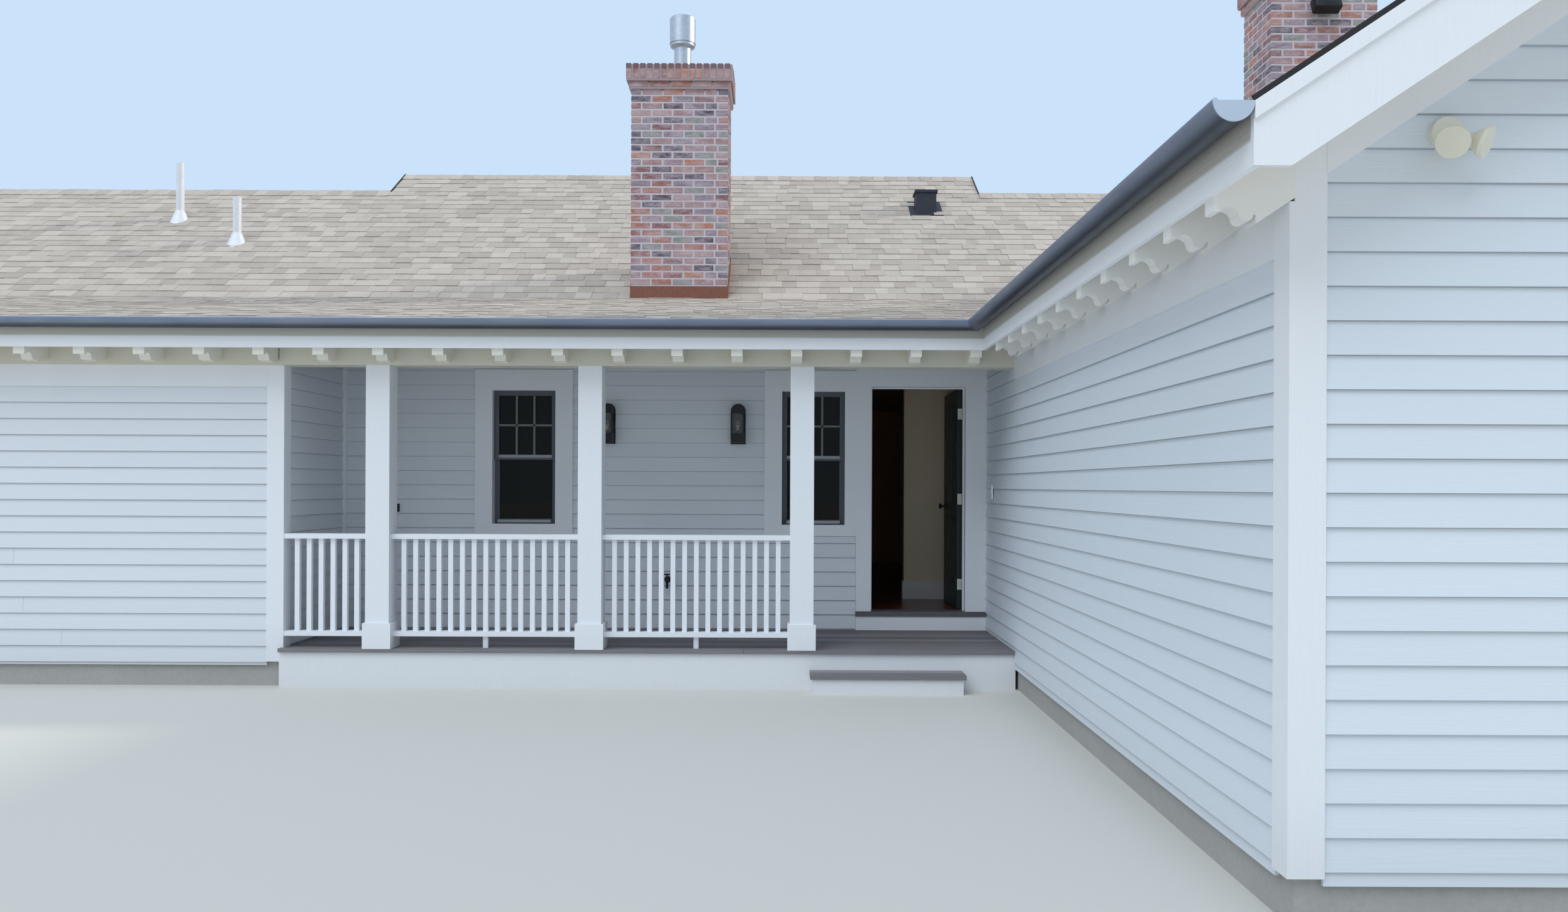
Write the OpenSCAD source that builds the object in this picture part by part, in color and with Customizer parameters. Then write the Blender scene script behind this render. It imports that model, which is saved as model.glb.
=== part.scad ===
// One-storey timber-framed bungalow with clapboard walls: a long main body with a
// recessed porch, a front-gabled wing on the right and a bump-out at the back.
// Plan datum while drawing: the corner where the porch's back wall meets the
// wing's left wall, at ground level. X runs to the right, Y to the back, Z up.
// Every piece is moved at the end so that the origin is the middle of the whole
// house at ground level.

/* [Plan] */
// Length of the main body, from the wing's left wall to the left gable wall
main_w = 11763; // [9000:1:15000]
// Width of the front-gabled wing
wing_w = 5874; // [5000:1:7000]
// Distance that the wing's front wall stands in front of the porch's back wall
wing_reach = 6262; // [4500:1:8000]
// Distance that the front-left wall stands in front of the porch's back wall
front_room_reach = 1264; // [1000:1:1500]
// Length of the porch, from the wing to the front-left rooms
porch_w = 5911; // [5700:1:7500]
// Depth from the porch's back wall to the rear wall
rear_depth = 5907; // [5500:1:7000]
// Width of the rear bump-out
bump_w = 6135; // [4500:1:7000]
// Distance that the bump-out's right wall stands right of the wing's left wall
bump_offset = 22; // [20:1:60]
// Thickness of the framed walls
wall_t = 150; // [120:1:180]
// Distance that the foundation lies inside the wall faces
foundation_inset = 25; // [10:1:40]
// Thickness of the foundation walls
foundation_t = 250; // [200:1:350]

/* [Levels] */
// Top of the foundation above the ground
foundation_h = 200; // [150:1:230]
// Top of the porch deck
deck_top = 313; // [290:1:380]
// Top of the porch step
step_top = 155; // [130:1:180]
// Top of the indoor floor
floor_top = 485; // [450:1:520]
// Underside of the indoor ceiling
ceiling_z = 2760; // [2740:1:2764]
// Thickness of the indoor ceiling
ceiling_t = 80; // [40:1:85]
// Underside of the porch ceiling
porch_ceiling_z = 2708; // [2700:1:2715]
// Height of the roof surface at the outer face of the fascias
eave_z = 2900; // [2890:1:3000]

/* [Roof] */
// Rise of the main roof slopes in twelve of run
steep_ratio = 8; // [7:0.25:9]
// Rise of the low front slope in twelve of run
low_ratio = 3; // [2.5:0.25:4]
// Run of the low front slope, from the front eave to where the roof steepens
low_run = 2104; // [1900:1:2300]
// Thickness of the roof deck, square to the slope
roof_t = 165; // [150:1:175]
// Overhang of the eaves of the wing and the rear
eave_over = 322; // [310:1:400]
// Overhang of the front eave past the front-left wall
front_eave_over = 350; // [330:1:400]
// Overhang of the main part's gables and of the wing's rear gable
rake_over = 400; // [300:1:450]
// Overhang of the wing's front gable
wing_rake_over = 445; // [400:1:480]
// Distance that the raised middle ridge lies behind the main ridge
raised_shift = 500; // [400:1:600]
// Thickness of the fascia boards
fascia_t = 25; // [19:1:30]
// Depth of the fascia boards
fascia_h = 210; // [195:1:225]
// Thickness of the rake boards
rake_t = 38; // [25:1:45]
// Depth of the rake boards, square to the slope
rake_h = 245; // [220:1:260]
// Outer radius of the half-round gutters
gutter_r = 70; // [55:1:75]
// Thickness of the gutter metal
gutter_t = 3; // [2:0.5:4]

/* [Rafter tails] */
// Spacing of the rafter tails
tail_pitch = 466; // [400:1:610]
// Distance from the left rake board to the first tail of the front eave
tail_start = 60; // [0:1:200]
// Width of one rafter tail
tail_w = 88; // [45:1:90]
// Height of a tail's lower edge at its notch, below the roof surface at the fascia
tail_drop = 307; // [300:1:320]
// Height of a tail's pointed tip below the roof surface at the fascia
tip_drop = 263; // [255:1:268]
// Radius of the hollow curve behind the tip
cove_r = 38; // [30:1:44]
// Distance from the fascia to the middle of the hollow curve
cove_out = 55; // [50:1:60]
// Radius of the round bead behind the hollow curve
bead_r = 26; // [20:1:30]
// Distance from the fascia to the middle of the bead
bead_out = 118; // [110:1:124]
// Distance from the fascia to the notch behind the bead
notch_out = 153; // [148:1:165]

/* [Porch] */
// Side of the square porch posts
post_w = 190; // [140:1:220]
// Distance from the wing's wall to the middle of the right post
post_right = 1718; // [1600:1:1900]
// Spacing of the porch posts
post_pitch = 1702; // [1500:1:1750]
// Distance from the porch's back wall to the middle of the posts
post_line = 1235; // [1200:1:1250]
// Width of the trim round the foot of a post
post_base_w = 227; // [200:1:260]
// Height of the trim round the foot of a post
post_base_h = 205; // [150:1:250]
// Height of the beam's underside above the ground
beam_z = 2585; // [2500:1:2610]
// Distance that the deck runs out in front of the back wall
deck_reach = 1344; // [1340:1:1400]
// Thickness of the deck boards
deck_t = 30; // [25:1:40]
// Distance from the deck's edge back to the skirt
skirt_inset = 25; // [20:1:40]
// Thickness of the skirt boards
skirt_t = 40; // [25:1:50]
// Length of the step
step_w = 1220; // [1000:1:1400]
// Distance from the wing's wall to the step
step_gap = 433; // [300:1:500]
// Distance that the step stands out from the skirt
step_reach = 261; // [230:1:320]
// Thickness of the step's tread
tread_t = 35; // [25:1:45]
// Distance that the tread overhangs its riser
tread_nosing = 20; // [15:1:30]
// Height of the hand rail's top above the ground
rail_top = 1231; // [1200:1:1300]
// Thickness of the hand rail and of the bottom rail
rail_t = 40; // [30:1:50]
// Depth of the hand rail from front to back
rail_w = 89; // [60:1:100]
// Underside of the bottom rail above the ground
rail_bottom = 407; // [390:1:430]
// Side of the square balusters
baluster_w = 38; // [25:1:45]
// Spacing that the balusters come nearest to
baluster_pitch = 97; // [80:1:120]

/* [Windows] */
// Clear width of a window inside its frame
window_w = 577; // [500:1:620]
// Bottom of the clear window opening above the ground
window_z = 1274; // [1200:1:1300]
// Top of the clear window opening above the ground
window_top = 2497; // [2450:1:2510]
// Thickness of the window and door frames
frame_t = 30; // [25:1:38]
// Width of the casing boards beside a window
casing_w = 160; // [120:1:160]
// Width of the casing board over a porch window
head_casing = 190; // [150:1:190]
// Width of the casing board over the other windows
outer_head_casing = 110; // [90:1:125]
// Width of the casing board under a window
sill_casing = 100; // [80:1:120]
// Distance that the casing boards stand out from the wall
casing_t = 24; // [18:1:30]
// Width of a sash's stiles and rails
sash_w = 45; // [35:1:55]
// Thickness of a sash
sash_t = 35; // [30:1:38]
// Thickness of the glass
glass_t = 6; // [4:1:8]
// Distance from the wing's wall to the middle of the porch's left window
window_1_out = 4249; // [4100:1:4300]
// Distance from the wing's wall to the middle of the porch's right window
window_2_out = 1594; // [1530:1:1620]
// Distance from the left gable wall to the middle of the front-left window
window_3_out = 1900; // [1200:1:3000]
// Spacing of paired windows
window_pair = 960; // [920:1:1100]

/* [Front door] */
// Clear width of the doorway
door_w = 863; // [813:1:914]
// Clear height of the doorway above the indoor floor
door_h = 2057; // [2000:1:2070]
// Distance from the wing's wall to the doorway
door_gap = 200; // [190:1:230]
// Thickness of the door leaf
leaf_t = 44; // [35:1:50]
// Gap left round the door leaf
leaf_gap = 5; // [5:0.5:8]
// Width of the casing board left of the door
door_casing = 140; // [100:1:145]
// Radius of the hinge knuckles
hinge_r = 6.5; // [5:0.5:8]
// Height of one hinge
hinge_h = 100; // [80:1:120]
// Angle at which the door stands open in the source
door_angle = 90; // [0:1:110]
// Distance from the porch's back wall to the wall seen behind the open door
partition_front = 1160; // [1100:1:1400]
// Thickness of that wall
partition_t = 120; // [100:1:150]
// Distance from the doorway's left side to that wall's end
partition_inset = 425; // [300:1:500]
// Length of that wall
partition_w = 1800; // [1500:1:2400]
// Radius of the door knob
knob_r = 27; // [20:1:32]
// Height of the knob above the indoor floor
knob_h = 950; // [850:1:1050]

/* [Chimneys and fittings] */
// Width of the porch chimney
chimney_w = 934; // [800:1:1100]
// Depth of the porch chimney
chimney_d = 600; // [500:1:700]
// Top of the porch chimney above the ground
chimney_top = 5675; // [5500:1:6200]
// Distance from the wing's wall to the porch chimney's right face
chimney_out = 2414; // [2300:1:2600]
// Top of the wing chimney above the ground
wing_chimney_top = 6250; // [5900:1:6400]
// Distance from the wing's left wall to the wing chimney's left face
wing_chimney_out = 2399; // [2300:1:2500]
// Distance from the porch's back wall forward to the wing chimney's front face
wing_chimney_front = 460; // [300:1:900]
// Height of the chimneys' cap courses
cap_h = 165; // [120:1:200]
// Distance that the cap courses stand out
cap_out = 45; // [30:1:60]
// Radius of the metal flue pipes
flue_r = 84; // [70:1:100]
// Height of the bare flue pipe
flue_h = 260; // [200:1:300]
// Radius of the flue caps
flue_cap_r = 128; // [110:1:150]
// Height of the flue caps, with the cone under them
flue_cap_h = 305; // [240:1:340]
// Height of the metal flashing at a chimney's foot, above the roof
flashing_h = 100; // [60:1:140]
// Thickness of the flashing
flashing_t = 4; // [2:1:8]
// Radius of the vent pipes
vent_r = 43; // [35:1:55]
// Height of the tall vent pipe above the roof
tall_vent_h = 620; // [450:1:800]
// Height of the short vent pipe above the roof
short_vent_h = 477; // [350:1:600]
// Distance from the wing's wall to the tall vent pipe
tall_vent_out = 8593; // [8200:1:8800]
// Distance from the wing's wall to the short vent pipe
short_vent_out = 7693; // [7400:1:7900]
// Distance from the main ridge forward to the tall vent pipe
tall_vent_down = 760; // [600:1:900]
// Distance from the main ridge forward to the short vent pipe
short_vent_down = 1310; // [1100:1:1500]
// Distance from the wing's wall to the middle of the box vent
box_vent_out = 263; // [200:1:400]
// Distance from the main ridge forward to the middle of the box vent
box_vent_down = 410; // [350:1:600]
// Width of the box vent on the roof
box_vent_w = 256; // [200:1:320]
// Height of the box vent above the roof
box_vent_h = 190; // [150:1:240]
// Width of a porch wall lamp
lamp_w = 137; // [110:1:160]
// Height of a porch wall lamp
lamp_h = 370; // [300:1:420]
// Bottom of the wall lamps above the ground
lamp_z = 2011; // [1900:1:2100]

/* [Hidden] */

// Slopes as rise over run
steep = steep_ratio / 12;
low = low_ratio / 12;

// Straight lines of the plan
left_x = -main_w;
right_x = wing_w;
front_y = -front_room_reach;
wing_y = -wing_reach;
rear_y = rear_depth;
wing_mid = wing_w / 2;
bump_right = bump_offset;
bump_left = bump_offset - bump_w;
return_x = -porch_w;

// Roof surface: both eaves lie at one height, the main body sets the ridge height,
// and the wing's slopes rise to the same ridge height
rear_eave_y = rear_y + eave_over;
front_eave_y = front_y - front_eave_over;
break_y = front_eave_y + low_run;
break_z = eave_z + low_run * low;
ridge_y = (rear_eave_y + break_y - low_run * low / steep) / 2;
ridge_z = eave_z + (rear_eave_y - ridge_y) * steep;
wing_slope = (ridge_z - eave_z) / (wing_mid + eave_over);
raised_y = ridge_y + raised_shift;
raised_z = ridge_z + raised_shift * steep;
raised_eave_y = raised_y + (raised_z - eave_z) / steep;
bump_y = raised_eave_y - eave_over;
left_rake = left_x - rake_over;
wing_front_rake = wing_y - wing_rake_over;
wing_rear_rake = rear_y + rake_over;
fascia_z = eave_z - fascia_h;

// Roof lines seen from the side (Y, Z) and, for the wing, from the front (X, Z)
main_line = [[front_eave_y, eave_z], [break_y, break_z],
    [ridge_y, ridge_z], [rear_eave_y, eave_z]];
raised_line = [[front_eave_y, eave_z], [break_y, break_z],
    [raised_y, raised_z], [raised_eave_y, eave_z]];
wing_line = [[-eave_over, eave_z], [wing_mid, ridge_z], [wing_w + eave_over, eave_z]];

// Middle of the whole house on the ground
mid_x = (left_rake + wing_w + eave_over + 2 * gutter_r) / 2;
mid_y = (wing_front_rake + raised_eave_y + 2 * gutter_r) / 2;
far = 40000;
// Gap left where one piece only rests against another
seat_gap = 0.3;

function slope_of(a, b) = (b[1] - a[1]) / (b[0] - a[0]);
function drop_of(m, t) = t * sqrt(1 + m * m);
function backwards(p) = [for (i = [len(p) - 1:-1:0]) p[i]];
// The line parallel to a roof line, t below it, with mitred bends and upright ends
function under(p, t) = [for (i = [0:len(p) - 1])
    let (a = slope_of(p[max(i - 1, 0)], p[max(i, 1)]),
        b = slope_of(p[min(i, len(p) - 2)], p[min(i + 1, len(p) - 1)]),
        d = abs(a - b) < 0.0001 ? 0 : (drop_of(a, t) - drop_of(b, t)) / (a - b))
    [p[i][0] + d, p[i][1] + a * d - drop_of(a, t)]];

module placed() {
    translate([-mid_x, -mid_y, 0]) children();
}

// Extrudes a (Y, Z) outline along X, or an (X, Z) outline along Y
module along_x(x0, x1) {
    translate([x0, 0, 0]) rotate([90, 0, 90]) linear_extrude(x1 - x0) children();
}

module along_y(y0, y1) {
    translate([0, y1, 0]) rotate([90, 0, 0]) linear_extrude(y1 - y0) children();
}

module box(x0, x1, y0, y1, z0, z1) {
    translate([x0, y0, z0]) cube([x1 - x0, y1 - y0, z1 - z0]);
}

// Outline of all that lies t or more below a roof line
module below_2d(line, t) {
    edge = under(line, t);
    last = len(line) - 1;
    polygon(concat(edge, [[line[last][0], 0], [line[0][0], 0]]));
}

// Outline of the layer between a roof line and the line t below it
module layer_2d(line, t) {
    polygon(concat(line, backwards(under(line, t))));
}

// Outline of one straight stretch of that layer
module stretch_2d(line, i, t) {
    edge = under(line, t);
    polygon([line[i], line[i + 1], edge[i + 1], edge[i]]);
}

module below_main(t) {
    along_x(left_rake - 1, wing_mid) below_2d(main_line, t);
}

module below_raised(t) {
    along_x(bump_left - rake_over - 1, bump_right + rake_over + 1) below_2d(raised_line, t);
}

module below_wing(t) {
    along_y(wing_front_rake - 1, wing_rear_rake + 1) below_2d(wing_line, t);
}

// The main body's plan, drawn d inside its wall faces, up to x_end at the wing
module main_plan(d, x_end) {
    translate([left_x + d, front_y + d])
        square([return_x - left_x - 2 * d, rear_y - front_y - 2 * d]);
    translate([left_x + d, d]) square([x_end - left_x - d, rear_y - 2 * d]);
    translate([bump_left + d, d]) square([bump_w - 2 * d, bump_y - 2 * d]);
}

module wing_plan(d, x_start) {
    translate([x_start, wing_y + d]) square([wing_w - d - x_start, rear_y - wing_y - 2 * d]);
}

// Foundation and floors

module foundation_main() color("gray") placed() linear_extrude(foundation_h) difference() {
    main_plan(foundation_inset, foundation_inset);
    main_plan(foundation_inset + foundation_t, foundation_inset);
}

module foundation_wing() color("gray") placed() linear_extrude(foundation_h) difference() {
    wing_plan(foundation_inset, foundation_inset);
    wing_plan(foundation_inset + foundation_t, foundation_inset + foundation_t);
}

module floor_main() color("saddlebrown") placed() translate([0, 0, foundation_h])
    linear_extrude(floor_top - foundation_h) main_plan(wall_t, wall_t);

module floor_wing() color("saddlebrown") placed() translate([0, 0, foundation_h])
    linear_extrude(floor_top - foundation_h) wing_plan(wall_t, wall_t);

// Porch deck, skirt and step

skirt_y = -deck_reach + skirt_inset;
step_right = -step_gap;
step_left = step_right - step_w;

module porch_deck() color("rosybrown") placed()
    box(return_x, 0, -deck_reach, 0, deck_top - deck_t, deck_top);

module porch_skirt() color("white") placed()
    box(return_x, 0, skirt_y, skirt_y + skirt_t, 0, deck_top - deck_t);

module step_tread() color("rosybrown") placed()
    box(step_left, step_right, skirt_y - step_reach, skirt_y, step_top - tread_t, step_top);

module step_riser() color("white") placed()
    box(step_left + tread_nosing, step_right - tread_nosing,
        skirt_y - step_reach + tread_nosing, skirt_y, 0, step_top - tread_t);

// Windows, placed as [x, y, angle of the wall], facing -Y at an angle of 0

side_z = foundation_h;
gable_1_y = rear_y * 0.25;
gable_2_y = rear_y * 0.75;
porch_windows = [[-window_1_out, 0, 0], [-window_2_out, 0, 0]];
front_left_windows = [[left_x + window_3_out, front_y, 0]];
wing_front_windows = [for (s = [-1, 1]) [wing_mid + s * window_pair / 2, wing_y, 0]];
left_windows = [[left_x, gable_1_y, -90], [left_x, gable_2_y, -90]];
rear_left_windows = [for (s = [-1, 1])
    [(left_x + bump_left) / 2 + s * window_pair / 2, rear_y, 180]];
bump_windows = [for (s = [-1, 0, 1])
    [(bump_left + bump_right) / 2 + s * window_pair, bump_y, 180]];
wing_rear_windows = [for (s = [-1, 1]) [wing_mid + s * window_pair / 2, rear_y, 180]];
wing_right_windows = [for (f = [1, 3, 5])
    [wing_w, wing_y + (rear_y - wing_y) * f / 6, 90]];
outer_windows = concat(front_left_windows, wing_front_windows, left_windows,
    rear_left_windows, bump_windows, wing_rear_windows, wing_right_windows);
all_windows = concat(porch_windows, outer_windows);

module at_windows(list) {
    for (w = list) translate([w[0], w[1], 0]) rotate([0, 0, w[2]]) children();
}

// The hole that a window frame fills
module window_holes(list) {
    at_windows(list) box(-window_w / 2 - frame_t, window_w / 2 + frame_t, -wall_t, 2 * wall_t,
        window_z - frame_t, window_top + frame_t);
}

module window_surround(head) {
    half = window_w / 2;
    difference() {
        union() {
            box(-half - frame_t, half + frame_t, -casing_t, wall_t,
                window_z - frame_t, window_top + frame_t);
            box(-half - casing_w, half + casing_w, -casing_t, 0,
                window_z - sill_casing, window_top + head);
        }
        box(-half, half, -wall_t, 2 * wall_t, window_z, window_top);
    }
}

module window_surrounds() color("white") placed() {
    at_windows(outer_windows) window_surround(outer_head_casing);
    difference() {
        at_windows(porch_windows) window_surround(head_casing);
        // The casing beside the door takes the place of the window's own there
        box(jamb_left - door_casing, far, -far, 0, 0, far);
    }
}

// A double-hung window: the upper sash is the outer one
sash_gap = 2;
meeting_z = (window_z + window_top) / 2;
upper_sash_y = 40;
lower_sash_y = upper_sash_y + sash_t + sash_gap;

module sash(y0, z0, z1) {
    half = window_w / 2 - seat_gap;
    difference() {
        box(-half, half, y0, y0 + sash_t, z0, z1);
        box(-half + sash_w, half - sash_w, y0 - 1, y0 + sash_t + 1, z0 + sash_w, z1 - sash_w);
    }
}

module window_sashes() color("dimgray") placed() at_windows(all_windows) {
    sash(upper_sash_y, meeting_z - sash_w / 2, window_top);
    sash(lower_sash_y, window_z, meeting_z + sash_w / 2);
}

module pane(y0, z0, z1) {
    half = window_w / 2 - seat_gap - sash_w;
    box(-half, half, y0 + (sash_t - glass_t) / 2, y0 + (sash_t + glass_t) / 2,
        z0 + sash_w, z1 - sash_w);
}

module window_glass() color("lightblue", 0.5) placed() at_windows(all_windows) {
    pane(upper_sash_y, meeting_z - sash_w / 2, window_top);
    pane(lower_sash_y, window_z, meeting_z + sash_w / 2);
}

// Walls. Each stands on the foundation and is cut to the underside of the roof.

jamb_right = -door_gap;
jamb_left = jamb_right - door_w;
door_head = floor_top + door_h;

module main_wall(x0, x1, y0, y1, z0) {
    intersection() {
        box(x0, x1, y0, y1, z0, far);
        below_main(roof_t);
    }
}

module wall_front_left() color("white") placed() difference() {
    main_wall(left_x + wall_t, return_x, front_y, front_y + wall_t, side_z);
    window_holes(front_left_windows);
}

module wall_porch_return() color("white") placed()
    main_wall(return_x - wall_t, return_x, front_y + wall_t, wall_t, side_z);

module wall_porch_windows() color("white") placed() difference() {
    main_wall(return_x, jamb_left - frame_t, 0, wall_t, side_z);
    window_holes(porch_windows);
}

module wall_door_head() color("white") placed()
    main_wall(jamb_left - frame_t, jamb_right + frame_t, 0, wall_t, door_head + frame_t);

module wall_door_right() color("white") placed()
    main_wall(jamb_right + frame_t, 0, 0, wall_t, side_z);

module wall_left_gable() color("white") placed() difference() {
    main_wall(left_x, left_x + wall_t, front_y, rear_y, side_z);
    window_holes(left_windows);
}

module wall_rear_left() color("white") placed() difference() {
    main_wall(left_x + wall_t, bump_left + wall_t, rear_y - wall_t, rear_y, side_z);
    window_holes(rear_left_windows);
}

module wall_bump_rear() color("white") placed() difference() {
    intersection() {
        box(bump_left, bump_right, bump_y - wall_t, bump_y, side_z, far);
        below_raised(roof_t);
    }
    window_holes(bump_windows);
}

module walls_bump_sides() color("white") placed() intersection() {
    for (x = [bump_left, bump_right - wall_t])
        box(x, x + wall_t, rear_y, bump_y - wall_t, side_z, far);
    below_raised(roof_t);
}

// The walls that rise from the main roof to the raised part's roof
module raised_cheeks() color("white") placed() difference() {
    intersection() {
        for (x = [bump_left, bump_right - wall_t])
            box(x, x + wall_t, ridge_y, rear_y, side_z, far);
        below_raised(roof_t);
    }
    below_main(roof_t);
    below_wing(roof_t);
}

module wall_wing_left() color("white") placed() intersection() {
    box(0, wall_t, wing_y + wall_t, wall_t, side_z, far);
    below_wing(roof_t);
}

module wall_wing_front() color("white") placed() difference() {
    intersection() {
        box(0, wing_w, wing_y, wing_y + wall_t, side_z, far);
        below_wing(roof_t);
    }
    window_holes(wing_front_windows);
}

module wall_wing_right() color("white") placed() difference() {
    intersection() {
        box(wing_w - wall_t, wing_w, wing_y + wall_t, rear_y - wall_t, side_z, far);
        below_wing(roof_t);
    }
    window_holes(wing_right_windows);
}

module wall_wing_rear() color("white") placed() difference() {
    union() {
        intersection() {
            box(0, wing_w, rear_y - wall_t, rear_y, side_z, far);
            below_wing(roof_t);
        }
        main_wall(bump_right - wall_t, 0, rear_y - wall_t, rear_y, side_z);
    }
    window_holes(wing_rear_windows);
}

// The wall that shows behind the open door
partition_left = jamb_left + partition_inset;

module hall_partition() color("antiquewhite") placed()
    box(partition_left, partition_left + partition_w, partition_front,
        partition_front + partition_t, floor_top, ceiling_z);

// Ceilings

module ceiling_main() color("antiquewhite") placed() translate([0, 0, ceiling_z])
    linear_extrude(ceiling_t) main_plan(wall_t, wall_t);

module ceiling_wing() color("antiquewhite") placed() translate([0, 0, ceiling_z])
    linear_extrude(ceiling_t) wing_plan(wall_t, wall_t);

porch_ceiling_t = 20;
beam_y = -post_line - post_w / 2;

module porch_ceiling() color("white") placed()
    box(return_x, 0, beam_y + post_w, 0, porch_ceiling_z, porch_ceiling_z + porch_ceiling_t);

module porch_beam() color("white") placed() intersection() {
    box(return_x, 0, beam_y, beam_y + post_w, beam_z, far);
    below_main(roof_t);
}

// Roof slopes, each a slab that ends behind its fascia and its rake boards

module front_fascia_space() {
    box(left_rake - 1, -eave_over, front_eave_y - 1, front_eave_y + fascia_t, 0, far);
}

module rear_fascia_space() {
    box(left_rake - 1, far, rear_eave_y - fascia_t, far, 0, far);
}

module roof_low_front() color("tan") placed() difference() {
    along_x(left_rake + rake_t, wing_mid) stretch_2d(main_line, 0, roof_t);
    below_wing(0);
    front_fascia_space();
}

module roof_main_front() color("tan") placed() difference() {
    along_x(left_rake + rake_t, wing_mid) stretch_2d(main_line, 1, roof_t);
    below_wing(0);
}

module roof_main_rear() color("tan") placed() difference() {
    union() {
        along_x(left_rake + rake_t, bump_left) stretch_2d(main_line, 2, roof_t);
        along_x(bump_right, wing_mid) stretch_2d(main_line, 2, roof_t);
    }
    below_wing(0);
    rear_fascia_space();
}

// The raised part: its rear slope, and its front slope above the main ridge
module raised_layer(t, x0, x1) {
    difference() {
        along_x(x0, x1) intersection() {
            layer_2d(raised_line, t);
            translate([ridge_y, 0]) square([far, far]);
        }
        along_x(-far, bump_left) below_2d(main_line, 0);
        along_x(bump_right, far) below_2d(main_line, 0);
        below_wing(0);
    }
}

module roof_raised() color("tan") placed() difference() {
    raised_layer(roof_t, bump_left - rake_over + rake_t, bump_right + rake_over - rake_t);
    box(-far, far, raised_eave_y - fascia_t, far, 0, far);
}

module wing_slab(i) {
    along_y(wing_front_rake + rake_t, wing_rear_rake - rake_t) stretch_2d(wing_line, i, roof_t);
}

module roof_wing_left() color("tan") placed() difference() {
    wing_slab(0);
    below_main(roof_t);
    box(-far, -eave_over + fascia_t, -far, front_eave_y + fascia_t, 0, far);
    box(-far, bump_right, ridge_y, far, 0, far);
}

module roof_wing_right() color("tan") placed() difference() {
    wing_slab(1);
    box(wing_w + eave_over - fascia_t, far, -far, far, 0, far);
}

// Fascias, rake boards and gutters

fascia_top = eave_z - 3;

module fascias() color("white") placed() {
    box(left_rake + rake_t, -eave_over, front_eave_y, front_eave_y + fascia_t,
        fascia_z, fascia_top);
    box(-eave_over, -eave_over + fascia_t, wing_front_rake + rake_t, front_eave_y + fascia_t,
        fascia_z, fascia_top);
    box(wing_w + eave_over - fascia_t, wing_w + eave_over, wing_front_rake + rake_t,
        wing_rear_rake - rake_t, fascia_z, fascia_top);
    box(left_rake + rake_t, bump_left, rear_eave_y - fascia_t, rear_eave_y,
        fascia_z, fascia_top);
    box(bump_left - rake_over + rake_t, bump_right + rake_over - rake_t,
        raised_eave_y - fascia_t, raised_eave_y, fascia_z, fascia_top);
}

rake_strip_h = 50;
rake_strip_t = 12;

// Rake boards end in a level cut at the height of the fascias' lower edge
module rake_2d(line) {
    intersection() {
        layer_2d(line, rake_h);
        translate([-far, fascia_z]) square([2 * far, far]);
    }
}

// A strip along the top of the front and left rakes stands out past the board
module rake_boards() color("white") placed() {
    difference() {
        along_y(wing_front_rake, wing_front_rake + rake_t) rake_2d(wing_line);
        along_y(wing_front_rake - 1, wing_front_rake + rake_strip_t)
            below_2d(wing_line, rake_strip_h);
    }
    difference() {
        along_y(wing_rear_rake - rake_t, wing_rear_rake) rake_2d(wing_line);
        box(-far, bump_right, -far, far, 0, far);
    }
    difference() {
        along_x(left_rake, left_rake + rake_t) rake_2d(main_line);
        along_x(left_rake - 1, left_rake + rake_strip_t) below_2d(main_line, rake_strip_h);
    }
    for (x = [bump_left - rake_over, bump_right + rake_over - rake_t]) intersection() {
        raised_layer(rake_h, x, x + rake_t);
        box(-far, far, -far, far, fascia_z, far);
    }
}

gutter_bead_r = 8;

// Half-round gutter outline, with its back edge on the fascia at 0 and a rolled front edge
module gutter_2d() {
    translate([-gutter_r, eave_z]) difference() {
        circle(r = gutter_r, $fn = 96);
        circle(r = gutter_r - gutter_t, $fn = 96);
        translate([-far, 0]) square([2 * far, far]);
    }
    translate([gutter_bead_r - 2 * gutter_r, eave_z]) circle(r = gutter_bead_r, $fn = 24);
}

module gutter_end_2d() {
    translate([-gutter_r, eave_z]) difference() {
        circle(r = gutter_r, $fn = 96);
        translate([-far, 0]) square([2 * far, far]);
    }
}

// A straight gutter along X in front of a fascia, closed at the ends that are asked for
module gutter_x(x0, x1, end0, end1) {
    along_x(x0, x1) gutter_2d();
    if (end0) along_x(x0, x0 + gutter_t) gutter_end_2d();
    if (end1) along_x(x1 - gutter_t, x1) gutter_end_2d();
}

// The mitre between the front gutter and the wing's: all points left of a 45 degree plane
module mitre_side() {
    translate([0, 0, eave_z - 2 * gutter_r]) linear_extrude(4 * gutter_r)
        polygon([[0, 0], [-far, -far], [-far, far], [0, far]]);
}

module gutters() color("slategray") placed() {
    translate([-eave_over, front_eave_y, 0]) {
        intersection() {
            gutter_x(left_rake + eave_over, 0, true, false);
            mitre_side();
        }
        difference() {
            rotate([0, 0, -90]) gutter_x(0, front_eave_y - wing_front_rake, false, true);
            mitre_side();
        }
    }
    translate([wing_w + eave_over, wing_front_rake, 0]) rotate([0, 0, 90])
        gutter_x(0, wing_rear_rake - wing_front_rake, true, true);
    translate([bump_left, rear_eave_y, 0]) rotate([0, 0, 180])
        gutter_x(0, bump_left - left_rake, true, true);
    translate([bump_right + rake_over, raised_eave_y, 0]) rotate([0, 0, 180])
        gutter_x(0, bump_w + 2 * rake_over, true, true);
}

// Rafter tails. The outline runs out from the wall (u = run) to the fascia (u = 0),
// with the deck above it, and ends in a hollow curve, a bead and a notch.

tip_w = 6;

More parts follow.
